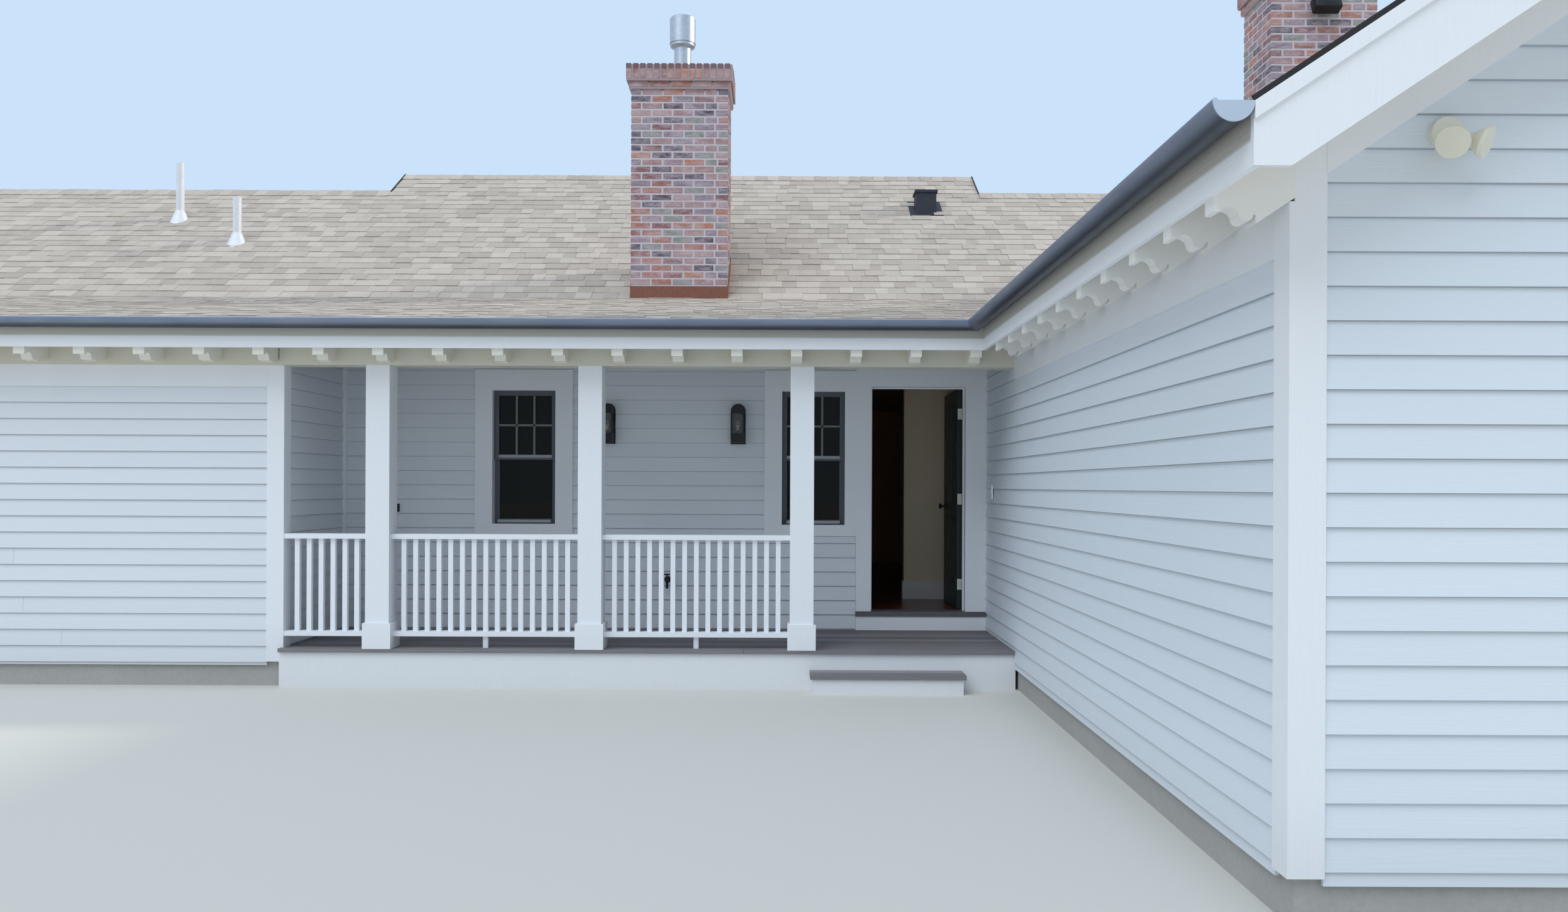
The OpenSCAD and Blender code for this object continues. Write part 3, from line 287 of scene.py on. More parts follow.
def painted_lap_shade(finish, courses):
    """1 in the painted shade of the lap under each board's lower edge, 0 elsewhere."""
    from_lap = (finish.axis("Z") - (courses.line - lap_below)) / courses.height
    return from_lap.fraction() < (lap_below + lap_above) / courses.height


def painted(name, colour, grain, change=0.05, gloss=0.42, splash=True, courses=None):
    finish = Finish(name)
    fibres = finish.noise(3.0, grain, detail=5.0)
    patches = finish.noise(0.7, detail=2.0)
    worn = [channel * (1 - change * 2.2) for channel in shade(*colour)[:3]] + [1.0]
    tint = finish.mix(fibres * 0.35 + patches * 0.5 + finish.tone() * 0.35, colour, worn)
    if splash:
        near_ground = finish.fade(finish.axis("Z") + fibres * 0.2, 0.05, 0.62, 0.22, 0.0)
        tint = finish.mix(near_ground, tint, (150, 146, 136))
    # Painted shade: a grey-blue line lies in the lap under each board's lower edge.
    if courses:
        tint = finish.mix(painted_lap_shade(finish, courses) * 0.5, tint, (130, 138, 150))
    finish.surface(tint, gloss + fibres * 0.16, fibres, 0.0012)


lengthways, upright, ceiling_boards = (1.0, 1.0, 46.0), (30.0, 30.0, 1.4), (24.0, 1.0, 6.0)
painted("siding_paint", (228, 232, 238), lengthways, 0.035, courses=main_courses)
# Painted light: the wing's siding takes a bluer, paler copy of the same white paint, standing for
# the blue sky light on its walls.
painted("wing_siding_skylight_paint", (228, 235, 243), lengthways, 0.035, courses=wing_courses)
painted("trim_paint", (240, 242, 246), upright, 0.025)
painted("rail_paint", (241, 243, 248), upright, 0.025, 0.36)
# Painted shade: the beam's paint is a darker cream copy of the trim white, for the shade under the
# porch roof.
painted("beam_paint", (222, 218, 204), (1.0, 20.0, 20.0), splash=False)
painted("ceiling_paint", (172, 176, 172), ceiling_boards, splash=False)
# Painted light: the eave paint on the rafter tails and under the roof is a cream copy of the white,
# standing for warm light bounced up from the ground; the wing's tails keep a whiter copy.
for name, colour, grain, change, gloss in (
        ("eave_warm_bounce_paint", (238, 234, 222), 9.0, 0.05, 0.42),
        ("wing_tail_paint", (242, 241, 238), 9.0, 0.04, 0.42),
        ("sash_paint", (92, 94, 101), 12.0, 0.10, 0.38),
        ("bar_paint", (122, 124, 116), 12.0, 0.06, 0.40),
        ("rail_strip", (166, 170, 172), 12.0, 0.06, 0.40),
        ("lamp_white", (236, 232, 216), 14.0, 0.04, 0.30),
        ("bulb_white", (176, 168, 138), 14.0, 0.04, 0.20),
        ("plaster", (214, 196, 172), 6.0, 0.04, 0.70),
        ("inside_trim", (204, 200, 198), 6.0, 0.03, 0.40)):
    painted(name, colour, (grain,) * 3, change, gloss, splash=False)

# %% [markdown]
# The fascias are white too, with a tan band of painted shade along their top, under the gutter
# that shades them. A wall is one slab, painted outside and plastered inside, so its finish changes
# with the depth behind the outer face.

# %% Fascias and walls
gutter_shade_end, gutter_shade_start = 0.124, 0.110
# Painted shade: the top of each fascia turns tan under the gutter.
finish = Finish("fascia_paint")
fibres = finish.noise(3.0, (1.0, 1.0, 30.0), detail=5.0)
stain_and_shade = finish.fade(finish.axis("Z") + fibres * 0.008, eave_z - gutter_shade_end, eave_z - gutter_shade_start,
                    0.0, 0.62)
finish.surface(finish.mix(stain_and_shade, (241, 243, 247), (150, 142, 116)), 0.42 + fibres * 0.16, fibres,
               0.0012)
sheathing_t = 0.055


def wall_paint(name, axis, line, way):
    finish = Finish(name)
    patches = finish.noise(2.2, detail=4.0)
    outside = finish.mix(patches, (232, 235, 239), (220, 224, 229))
    inside = finish.mix(patches, (232, 192, 150), (218, 176, 134))
    depth = (finish.axis(axis) - line) * -way
    finish.surface(finish.mix(depth > sheathing_t, outside, inside), 0.55 + patches * 0.15,
                   patches, 0.0008)


# %% [markdown]
# ## Wood that shows
# The porch floor is brown-grey decking, and the hall floor is dark red-brown planks. Both have
# long fibres along the board and a different tone on each one. On the deck the boards are real
# pieces with a tone each. The hall floor is one slab, so its planks come from a pattern.

# %% Deck boards and hall planks
finish = Finish("decking")
fibres = finish.noise(4.0, (1.2, 34.0, 34.0), detail=6.0)
tint = finish.ramp(fibres * 0.5 + finish.tone() * 0.45 + finish.noise(1.3) * 0.12,
                   [(0.2, (96, 93, 96)), (0.55, (128, 123, 125)), (0.9, (156, 150, 150))])
finish.surface(tint, 0.55 + fibres * 0.2, fibres, 0.0015)

finish = Finish("hall_planks")
planks = finish.node("ShaderNodeTexBrick", {"offset": 0.37}, {
    "Vector": finish.place(), "Scale": 1.0, "Brick Width": 1.4, "Row Height": 0.083,
    "Mortar Size": 0.0012, "Color1": (104, 52, 34), "Color2": (78, 36, 25), "Mortar": (24, 12, 9)})
fibres = finish.noise(5.0, (1.5, 30.0, 8.0), detail=5.0)
tint = finish.mix(fibres * 0.45, planks, (56, 24, 16))
finish.surface(tint, 0.28 + fibres * 0.12, fibres, 0.0004, Coat_Weight=0.3)

# %% [markdown]
# ## Shingles
# An asphalt shingle is felt with mineral granules. From the ground it reads as a warm tan-grey
# with every tab a little different. The tab's tone picks the main colour, and two noises, one
# fine and one coarse, break it up as the granules do.

# %% Roofing
for name, *shades in (("shingles", (166, 156, 147), (186, 176, 166), (202, 192, 182)),
                      ("shingle_edge", (30, 28, 29), (44, 41, 42), (62, 58, 56))):
    finish = Finish(name)
    granules = finish.noise(420.0, detail=2.0, roughness=0.8)
    blend = finish.noise(9.0, detail=4.0, roughness=0.7)
    weather = finish.noise(0.5, detail=2.0)
    level = finish.tone() * 0.42 + granules * 0.30 + blend * 0.34 + weather * 0.16
    finish.surface(finish.ramp(level, list(zip((0.28, 0.6, 0.95), shades))), 0.9, granules, 0.0012)

# %% [markdown]
# ## Masonry and metal
# The bricks are a reclaimed mix: red, orange, pink, plum and nearly black, with lime smeared
# over some of them. Each brick's tone picks its colour from steps of a ramp, and soot blackens
# the top of each chimney. Zinc has a faint crystal pattern, and copper has gone brown.

# %% Brick, mortar and concrete
cap_high, corbel_high, soot_high = 0.165, 0.070, 0.052
BRICK_STEPS = [(0.0, (178, 114, 92)), (0.09, (156, 98, 90)), (0.18, (168, 128, 130)),
               (0.30, (144, 130, 144)), (0.42, (76, 79, 98)), (0.53, (180, 146, 143)),
               (0.62, (132, 82, 80)), (0.70, (136, 147, 140)), (0.78, (66, 61, 78)),
               (0.86, (162, 139, 152)), (0.94, (192, 126, 98))]


def near_tops(finish, depth, aside=0.01):
    """1 on the uppermost stretch of each chimney, 0 elsewhere."""
    across, height = finish.axis("X"), finish.axis("Z")
    share = 0
    for lowest, highest in solids("chimneys"):
        here = (across > lowest.x - aside) * (across < highest.x + aside)
        share = here * (height > highest.z - depth) + share
    return share


finish = Finish("brick_face")
pits = finish.noise(60.0, detail=5.0, roughness=0.7)
smear = finish.noise(9.0, (1.0, 1.0, 2.6), detail=5.0, roughness=0.75)
aged_and_shaded = finish.mix(pits * 0.35, finish.ramp(finish.tone(), BRICK_STEPS, "CONSTANT"), (118, 96, 100))
limed = finish.mix(finish.fade(smear, 0.4, 0.66, 0.05, 0.64), aged_and_shaded, (206, 190, 196))
soot = near_tops(finish, soot_high) * (0.35 + smear * 0.7)
finish.surface(finish.mix(soot, limed, (88, 72, 82)), 0.88, pits, 0.004)

finish = Finish("mortar")
grit = finish.noise(120.0, detail=6.0, roughness=0.7)
limed = finish.mix(grit * 0.7 + finish.noise(1.4) * 0.5, (188, 178, 186), (216, 208, 214))
smoked = near_tops(finish, cap_high + corbel_high) * 0.6
finish.surface(finish.mix(smoked, limed, (136, 110, 106)), 0.92, grit, 0.003)

finish = Finish("concrete")
grit = finish.noise(34.0, detail=6.0, roughness=0.7)
tint = finish.mix(grit * 0.6 + finish.noise(1.4) * 0.5, (146, 145, 142), (190, 188, 184))
finish.surface(tint, 0.92, grit, 0.003)


# %% Sheet metal
def sheet_metal(name, colour, stain_and_shade, roughness, metallic):
    finish = Finish(name)
    crystals = finish.node("ShaderNodeTexVoronoi", inputs={"Vector": finish.place(), "Scale": 55.0},
                           output="Color")
    facets = finish.node("ShaderNodeSeparateColor", inputs={0: crystals})
    cloud = finish.noise(6.0, detail=4.0)
    tint = finish.mix(facets * 0.25 + cloud * 0.5, colour, stain_and_shade)
    finish.surface(tint, roughness + cloud * 0.14, cloud, 0.0006, Metallic=metallic)


for metal in (("zinc", (206, 210, 216), (158, 164, 172), 0.3, 0.75),
              ("copper", (148, 98, 78), (108, 66, 54), 0.42, 0.6),
              ("pale_pipe", (234, 236, 240), (206, 210, 218), 0.4, 0.1),
              ("nickel", (198, 194, 184), (160, 154, 142), 0.26, 0.9),
              ("pale_nickel", (222, 222, 212), (196, 196, 186), 0.5, 0.2),
              ("black_metal", (30, 31, 34), (18, 18, 21), 0.36, 0.4),
              ("vent_metal", (56, 58, 68), (36, 38, 48), 0.5, 0.3),
              ("bronze", (62, 54, 46), (38, 33, 30), 0.32, 0.8)):
    sheet_metal(*metal)

# %% [markdown]
# The gutters are blue-grey, with painted shade darkening their underside, and their end plates
# are bare pale metal. Both lie at known places, so height and depth pick the colour.

# %% Gutters
gutter_low, gutter_dark, end_plate_t = 0.062, 0.035, 0.0045
finish = Finish("gutter_metal")
streaks = finish.noise(2.4, (1.0, 1.0, 9.0), detail=5.0)
slate = finish.mix(streaks, (144, 152, 170), (106, 118, 138))
# Painted shade: each gutter darkens towards its underside.
painted_underside_shade = finish.fade(finish.axis("Z"), eave_z - gutter_low, eave_z - gutter_dark, 0.85, 0.0)
aged_and_shaded = finish.mix(painted_underside_shade, slate, (40, 42, 46))
tint = finish.mix(finish.axis("Y") < wing_rake + end_plate_t, aged_and_shaded, (196, 206, 216))
finish.surface(tint, 0.3 + streaks * 0.2, streaks, 0.0005, Metallic=0.5)

# %% [markdown]
# ## Glass, the front door and the sill
# The rooms behind the windows are dark, so clean panes look nearly black and mirror the light
# outside. A glossy, dark and slightly see-through pane gives that. The door is a very dark
# green, and its sill is one piece of weathered wood on a white riser, told apart by the height.

# %% Glass, door and sill
finish = Finish("pane_glass")
ripple = finish.noise(1.7, detail=1.0)
finish.surface(finish.mix(ripple, (10, 13, 10), (30, 32, 22)), 0.035, ripple, 0.0015, Alpha=0.76,
               IOR=1.24)
Finish("lantern_glass").surface((150, 152, 146), 0.06, Alpha=0.16)

finish = Finish("door_gloss")
brush = finish.noise(4.0, (26.0, 26.0, 1.2), detail=4.0)
finish.surface(finish.mix(brush, (12, 36, 30), (7, 21, 18)), 0.46 + brush * 0.14, brush, 0.0005,
               Coat_Weight=0.05)

sill_t = 0.046
finish = Finish("sill_finish")
fibres = finish.noise(4.0, (1.2, 20.0, 30.0), detail=5.0)
wood = finish.mix(fibres, (112, 108, 110), (84, 80, 84))
is_sill = finish.axis("Z") > floor_z - sill_t
finish.surface(finish.mix(is_sill, (238, 240, 244), wood), 0.5, fibres, 0.0008)

# %% [markdown]
# ## Finishes for the nodes
# A node keeps its mesh and takes a finish through its material slots. A wall's paint is made for
# that wall, because it starts at the wall's outer face.

# %% Dress the nodes
NODE_FINISH = {
    "concrete": "foundation_main foundation_wing",
    "hall_planks": "floor_main floor_wing",
    "decking": "porch_deck step_tread",
    "siding_paint": "walls_bump_sides raised_cheeks",
    "plaster": "hall_partition ceiling_main ceiling_wing",
    "ceiling_paint": "porch_ceiling",
    "eave_warm_bounce_paint": "roof_low_front roof_main_front roof_main_rear roof_raised roof_wing_left "
                  "roof_wing_right rafter_tails_main",
    "wing_tail_paint": "rafter_tails_wing",
    "beam_paint": "porch_beam",
    "fascia_paint": "fascias",
    "trim_paint": "porch_skirt step_riser rake_boards porch_posts corner_boards "
                  "window_surrounds door_surround",
    "rail_paint": "porch_railings",
    "gutter_metal": "gutters",
    "sash_paint": "window_sashes",
    "pane_glass": "window_glass",
    "sill_finish": "door_sill",
    "door_gloss": "door_leaf",
    "nickel": "door_hinges",
    "bronze": "door_knob",
    "brick_face": "chimneys",
    "copper": "chimney_flashing",
    "zinc": "flue_pipes",
    "pale_pipe": "vent_pipes",
    "vent_metal": "roof_vent",
    "black_metal": "wall_lamps",
    "lamp_white": "security_lights",
}
WALL_FACES = {
    ("Y", -1): "wall_front_left wall_porch_windows wall_door_head wall_door_right wall_wing_front",
    ("Y", 1): "wall_rear_left wall_bump_rear wall_wing_rear",
    ("X", -1): "wall_left_gable wall_wing_left",
    ("X", 1): "wall_porch_return wall_wing_right",
}


def dress(node, finish_name):
    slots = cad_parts[node].data.materials
    slots.clear()
    slots.append(finishes[finish_name])


for finish_name, nodes in NODE_FINISH.items():
    for node in nodes.split():
        dress(node, finish_name)
for (axis, way), nodes in WALL_FACES.items():
    for node in nodes.split():
        outer = high(node) if way > 0 else low(node)
        wall_paint(node + "_paint", axis, outer["XYZ".index(axis)], way)
        dress(node, node + "_paint")
print(len(finishes), "finishes on", len(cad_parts), "nodes and the pieces below")

# %% [markdown]
# ## Many copies of one shape
# Boards, shingles and bricks are one small shape repeated hundreds of times. The shape is made
# once with mesh operators. Then its points are laid out at every place in one go, where a place
# is three edges and a corner that say how long, how thick and how tilted that copy is. Each copy
# also gets a tone, a number that its finish reads.

# %% Places
X_AXIS, Y_AXIS, Z_AXIS = Vector((1, 0, 0)), Vector((0, 1, 0)), Vector((0, 0, 1))
LEFT, RIGHT, FRONT, BACK = -X_AXIS, X_AXIS, -Y_AXIS, Y_AXIS
chance = random.Random(7)


def slab(corner, along, across, up):
    """The place of a unit box with those edges and that corner, never turned inside out."""
    if along.cross(across).dot(up) < 0:
        corner, along = corner + along, -along
    return along, across, up, corner


def upright_box(x0, x1, y0, y1, z0, z1):
    return slab(Vector((x0, y0, z0)), X_AXIS * (x1 - x0), Y_AXIS * (y1 - y0), Z_AXIS * (z1 - z0))


def upwards(normal):
    return normal if normal.z > 0 else -normal


# %% Pieces and copies
def add_piece(name, mesh, finish_name, body="house"):
    piece = new_object(name, mesh)
    mesh.materials.append(finishes[finish_name])
    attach(piece, body)
    print(f"{name}: {len(mesh.polygons)} faces")
    return piece


def unit_box():
    """A box one unit each way, with its lowest corner at zero."""
    bm = bmesh.new()
    bmesh.ops.create_cube(bm, size=1.0)
    bmesh.ops.translate(bm, verts=bm.verts, vec=(0.5, 0.5, 0.5))
    return bm


def copied_mesh(name, template, places, tones):
    """A mesh with one copy of the template at each place."""
    shape = bpy.data.meshes.new("shape")
    template.to_mesh(shape)
    template.free()
    points = np.array([vert.co for vert in shape.vertices])
    corners = np.array([loop.vertex_index for loop in shape.loops])
    starts = np.array([face.loop_start for face in shape.polygons])
    bpy.data.meshes.remove(shape)
    places = np.array(places, float)
    moved = np.einsum("nji,vj->nvi", places[:, :3], points) + places[:, None, 3]
    copy = np.arange(len(places))[:, None]
    mesh = bpy.data.meshes.new(name)
    for items, key, values in (
            (mesh.vertices, "co", moved.astype(np.float32)),
            (mesh.loops, "vertex_index", (corners + copy * len(points)).astype(np.int32)),
            (mesh.polygons, "loop_start", (starts + copy * len(corners)).astype(np.int32))):
        items.add(values.shape[0] * values.shape[1])
        items.foreach_set(key, values.ravel())
    mesh.update(calc_edges=True)
    mesh.shade_flat()
    tone = mesh.attributes.new("tone", "FLOAT", "POINT")
    tone.data.foreach_set("value", np.repeat(np.array(tones, np.float32), len(points)))
    return mesh


def boxes_piece(name, places, finish_name, varied=False, body="house"):
    """A piece of many boxes. Varied ones have a chance tone each, and the others a middle one."""
    tones = [chance.random() if varied else 0.5 for _ in places]
    return add_piece(name, copied_mesh(name, unit_box(), places, tones), finish_name, body)


# %% [markdown]
# ## Where the windows are
# The panes give every window's place: a pane is thin in the direction that it faces. Each
# window is kept as a point on the wall's outer face, the way it faces and the way across.

# %% Windows
window_w, window_z, window_top = 0.577, 1.274, 2.497
casing_w, sill_casing, outer_head, porch_head = 0.160, 0.100, 0.110, 0.190
sash_w, sash_t, upper_sash_in = 0.045, 0.035, 0.040
meeting_z = (window_z + window_top) / 2
Window = namedtuple("Window", "spot out across")
windows = []
for lowest, highest in solids("window_glass"):
    middle, size = (lowest + highest) / 2, highest - lowest
    if size.x < size.y:
        out, across = (RIGHT if middle.x > 0 else LEFT), Y_AXIS
    else:
        out, across = (BACK if middle.y > ridge_y else FRONT), X_AXIS
    if middle.z > meeting_z:
        spot = middle + out * (upper_sash_in + sash_t / 2)
        spot.z = 0
        windows.append(Window(spot, out, across))
print(len(windows), "windows")

# %% [markdown]
# ## Clapboards
# Clapboards are long boards with a thick lower edge. Each one laps over the one below and leans
# back against the wall, so the lower edges throw the lines that give the house its look. The
# walls could be given a stepped bump, but the steps show at every corner, so each board is a
# real leaning box. A course stops at the casings, and the boards in it end at chance places, as
# they come in lengths up to 4.9 m.

# %% What a course may cover
Face = namedtuple("Face", "start along out length bottom top courses")
board_under, same_wall, least_strip = 0.005, 0.06, 0.006


def window_blocks(face):
    """What a face's windows and casings keep free: (from, to, bottom, top) along the face."""
    blocks = []
    for window in windows:
        offset = window.spot - face.start
        middle = offset.dot(face.along)
        on_face = abs(offset.dot(face.out)) < same_wall and window.out.dot(face.out) > 0.9
        if on_face and -1 < middle < face.length + 1:
            head = porch_head if abs(window.spot.y - porch_y) < same_wall else outer_head
            half = window_w / 2 + casing_w - board_under
            blocks.append((middle - half, middle + half, window_z - sill_casing + board_under,
                           window_top + head - board_under))
    return blocks


def free_heights(bottom, top, blocks, middle):
    """The parts of a course's height that no block covers at that place."""
    parts = [(bottom, top)]
    for start, end, block_low, block_high in blocks:
        if start < middle < end:
            parts = [part for low_z, high_z in parts for part in
                     ((low_z, min(high_z, block_low)), (max(low_z, block_high), high_z))]
    return [part for part in parts if part[1] - part[0] > least_strip]


# %% Board layout
board_t, board_out, board_lap = 0.014, 0.016, 0.022
longest_board, shortest_share, joint_gap = 4.9, 0.45, 0.0015


def board_ends(start, end):
    """Chance board ends between start and end."""
    places = [start]
    while end - places[-1] > longest_board:
        places.append(places[-1] + chance.uniform(shortest_share, 1.0) * longest_board)
    return places + [end]


def clapboards(face):
    places = []
    blocks = window_blocks(face)
    base, height = face.courses
    lean = -board_t / height
    first, last = math.floor((face.bottom - base) / height), math.ceil((face.top - base) / height)
    for line in (base + number * height for number in range(first, last)):
        bottom, top = max(line, face.bottom), min(line + height + board_lap, face.top)
        crossing = [block for block in blocks if block[2] < top and block[3] > bottom]
        cuts = sorted({0.0, face.length, *(min(max(edge, 0), face.length)
                                           for block in crossing for edge in block[:2])})
        for start, end in zip(cuts, cuts[1:]):
            for low_z, high_z in free_heights(bottom, top, crossing, (start + end) / 2):
                inner = board_out - board_t + lean * (low_z - line)
                rise = Z_AXIS * (high_z - low_z) + face.out * (lean * (high_z - low_z))
                ends = board_ends(start, end)
                for left, right in zip(ends, ends[1:]):
                    corner = face.start + face.along * left + face.out * inner + Z_AXIS * low_z
                    places.append(slab(corner, face.along * (right - left - joint_gap),
                                       face.out * board_t, rise))
    return places


def boarded(name, x0, x1, y0, y1, out, bottom, top, courses=main_courses):
    """Lays the clapboards of one wall, which runs along X or along Y."""
    along = X_AXIS if x1 > x0 else Y_AXIS
    face = Face(Vector((x0, y0, 0)), along, out, max(x1 - x0, y1 - y0), bottom, top, courses)
    # The wing's boards take the bluer copy, a painted sky-light tint; the other walls take the plain
    # paint.
    paint = "wing_siding_skylight_paint" if courses is wing_courses else "siding_paint"
    return boxes_piece("boards_" + name, clapboards(face), paint, varied=True)


# %% [markdown]
# Each outer wall is one face. A gable is boarded as a rectangle first, and the boards are then
# cut along the roof with bisect, which also leaves clean sloped ends to close.

# %% Walls with a level top
corner_w, corner_d, inside_strip, drip = 0.118, 0.110, 0.040, 0.03
wall_foot = foundation_z - drip
main_frieze, wing_frieze = 2.412, 2.490
wing_corner, rear_corner = wing_y + corner_d, rear_y - corner_d
for wall in (
        ("front_left", left_x + corner_w, return_x - corner_w, front_y, front_y, FRONT,
         wall_foot, main_frieze),
        ("porch_return", return_x, return_x, front_y + corner_d, porch_y - inside_strip, RIGHT,
         deck_z, porch_ceiling_z),
        ("porch", return_x + inside_strip, low("door_surround").x, porch_y, porch_y, FRONT,
         deck_z, porch_ceiling_z),
        ("wing_left", wing_x, wing_x, wing_corner, beam_y, LEFT, wall_foot, wing_frieze,
         wing_courses),
        ("wing_porch", wing_x, wing_x, beam_y, porch_y, LEFT, deck_z, porch_ceiling_z,
         wing_courses),
        ("wing_right", right_x, right_x, wing_corner, rear_corner, RIGHT,
         wall_foot, wing_frieze, wing_courses),
        ("bump_left", bump_left, bump_left, rear_y, bump_y - corner_d, LEFT, wall_foot, eave_z),
        ("bump_right", bump_right, bump_right, rear_y, bump_y - corner_d, RIGHT,
         wall_foot, eave_z),
        ("bump_rear", bump_left + corner_w, bump_right - corner_w, bump_y, bump_y, BACK,
         wall_foot, wing_frieze),
        ("rear_left", left_x + corner_w, bump_left, rear_y, rear_y, BACK,
         wall_foot, wing_frieze)):
    boarded(*wall)

# %% Cutting under a roof
roof_t, into_roof = 0.165, 0.02


def thickness_upright(slope):
    """How far a roof's underside lies below its upper face, measured straight down."""
    return roof_t * math.sqrt(1 + slope * slope)


def under_roof(point, slope_way, slope):
    """A cutting plane a little above the underside of a roof that rises along slope_way."""
    drop = (roof_t - into_roof) * math.sqrt(1 + slope * slope)
    return Vector(point) - Z_AXIS * drop, (Z_AXIS - slope_way * slope).normalized()


def cut_piece(piece, planes):
    """Cuts a piece along planes, keeps what lies below them and closes the cut ends."""
    bm = bmesh.new()
    bm.from_mesh(piece.data)
    for point, normal in planes:
        bmesh.ops.bisect_plane(bm, geom=bm.verts[:] + bm.edges[:] + bm.faces[:], plane_co=point,
                               plane_no=normal, clear_outer=True)
        rim = [edge for edge in bm.edges if edge.is_boundary]
        bmesh.ops.holes_fill(bm, edges=rim, sides=0)
    bm.to_mesh(piece.data)
    bm.free()


# %% Gable walls
cheek_end, cheek_foot = rear_y + 0.3, eave_z - 0.2
front_low = under_roof((0, eave_y, eave_z), BACK, shallow)
front_steep = under_roof((0, break_y, break_z), BACK, steep)
main_rear = under_roof((0, rear_eave_y, eave_z), FRONT, steep)
raised_rear = under_roof((0, raised_eave_y, eave_z), FRONT, steep)
above_main = Vector((0, rear_eave_y, eave_z)), (FRONT * steep - Z_AXIS).normalized()
wing_planes = [under_roof((wing_mid, 0, ridge_z), way, wing_slope) for way in (RIGHT, LEFT)]
cheek_planes = [above_main, raised_rear, front_steep]
for planes, *wall in (
        (wing_planes, "wing_front", wing_x + corner_w, right_x - corner_w, wing_y, wing_y, FRONT,
         wall_foot, ridge_z, wing_courses),
        (wing_planes, "wing_rear", bump_right, right_x - corner_w, rear_y, rear_y, BACK,
         wall_foot, ridge_z, wing_courses),
        ([front_low], "gable_front", left_x, left_x, front_y + corner_d, break_y, LEFT,
         wall_foot, break_z),
        ([front_steep, main_rear], "gable_rear", left_x, left_x, break_y, rear_corner, LEFT,
         wall_foot, ridge_z),
        (cheek_planes, "cheek_left", bump_left, bump_left, ridge_y, cheek_end, LEFT,
         cheek_foot, raised_z),
        (cheek_planes, "cheek_right", bump_right, bump_right, ridge_y, cheek_end, RIGHT,
         cheek_foot, raised_z)):
    cut_piece(boarded(*wall), planes)

# %% [markdown]
# ## Plain boards
# Under the eaves a wide smooth board, the frieze, ends the clapboards, and a thin strip covers
# each inside corner of the porch. Left of the porch a board in the beam's darker paint carries on
# the line of its beam; its cream colour is painted shade between the rafter tails.

# %% Friezes and corner strips
frieze_t, side_soffit = 0.022, 2.92
front_soffit = eave_z + (front_y - eave_y) * shallow - roof_t
boxes_piece("frieze_boards", [upright_box(*sides) for sides in (
    (left_x + corner_w, return_x - corner_w, front_y - frieze_t, front_y,
     main_frieze, front_soffit),
    (wing_x - frieze_t, wing_x, wing_corner, beam_y, wing_frieze, side_soffit),
    (right_x, right_x + frieze_t, wing_corner, rear_corner, wing_frieze, side_soffit),
    (left_x + corner_w, bump_left, rear_y, rear_y + frieze_t, wing_frieze, side_soffit),
    (bump_left + corner_w, bump_right - corner_w, bump_y, bump_y + frieze_t,
     wing_frieze, side_soffit),
    (return_x, return_x + inside_strip, porch_y - inside_strip, porch_y,
     deck_z, porch_ceiling_z))], "trim_paint")
# Painted shade: the board over the top of the front frieze takes the beam's darker cream, for the
# shade between the tails.
eave_shade_board_t, beam_end = 0.030, 0.010
eave_shade_board = upright_box(left_x, low("porch_beam").x + beam_end, front_y - eave_shade_board_t, front_y,
                         beam_z, front_soffit)
boxes_piece("eave_shade_board", [eave_shade_board], "beam_paint")

# %% [markdown]
# On the gables the frieze follows the roof. A box whose long edges rise with the slope and whose
# ends stay upright meets its neighbour at the ridge without a gap.

# %% Friezes under the gables
rake_frieze_low, tuck = 0.416, 0.005
gable_places = []


def sloped_frieze(start, end, out, slope):
    """A board between two points of the wall, given at the height of the roof's upper face."""
    rise = rake_frieze_low - thickness_upright(slope) + tuck
    start, end = Vector(start), Vector(end)
    gable_places.append(slab(start - Z_AXIS * rake_frieze_low, end - start, out * frieze_t,
                             Z_AXIS * rise))


for first_x, y, out in ((wing_x + corner_w, wing_y, FRONT), (bump_right, rear_y, BACK)):
    for x0, x1 in ((first_x, wing_mid), (wing_mid, right_x - corner_w)):
        z0, z1 = (ridge_z - abs(x - wing_mid) * wing_slope for x in (x0, x1))
        sloped_frieze((x0, y, z0), (x1, y, z1), out, wing_slope)
front_end = front_y + corner_d
gable_line = [(front_end, eave_z + (front_end - eave_y) * shallow, shallow),
              (break_y, break_z, steep), (ridge_y, ridge_z, steep),
              (rear_corner, eave_z + (rear_eave_y - rear_corner) * steep, steep)]
for (y0, z0, slope), (y1, z1, _) in zip(gable_line, gable_line[1:]):
    sloped_frieze((left_x, y0, z0), (left_x, y1, z1), LEFT, slope)
boxes_piece("gable_friezes", gable_places, "trim_paint")

# %% [markdown]
# ## Shingles
# Shingles are laid in courses from the eave up, each lapping over the last. The tabs are cut to
# different widths, and some are two layers thick. As on the walls, every tab is a leaning box: its
# lower edge stands proud and its upper edge goes under the next course. A course runs a little
# past a valley, where the other slope covers its ends.

# %% Laying one slope
shingle_course, shingle_lap, tab_lean, eave_overhang = 0.143, 0.04, 0.006, 0.015
narrowest, widest, tab_gap, least_tab, least_course = 0.11, 0.24, 0.002, 0.02, 0.03
TAB_THICKNESSES = (0.006, 0.006, 0.0095)


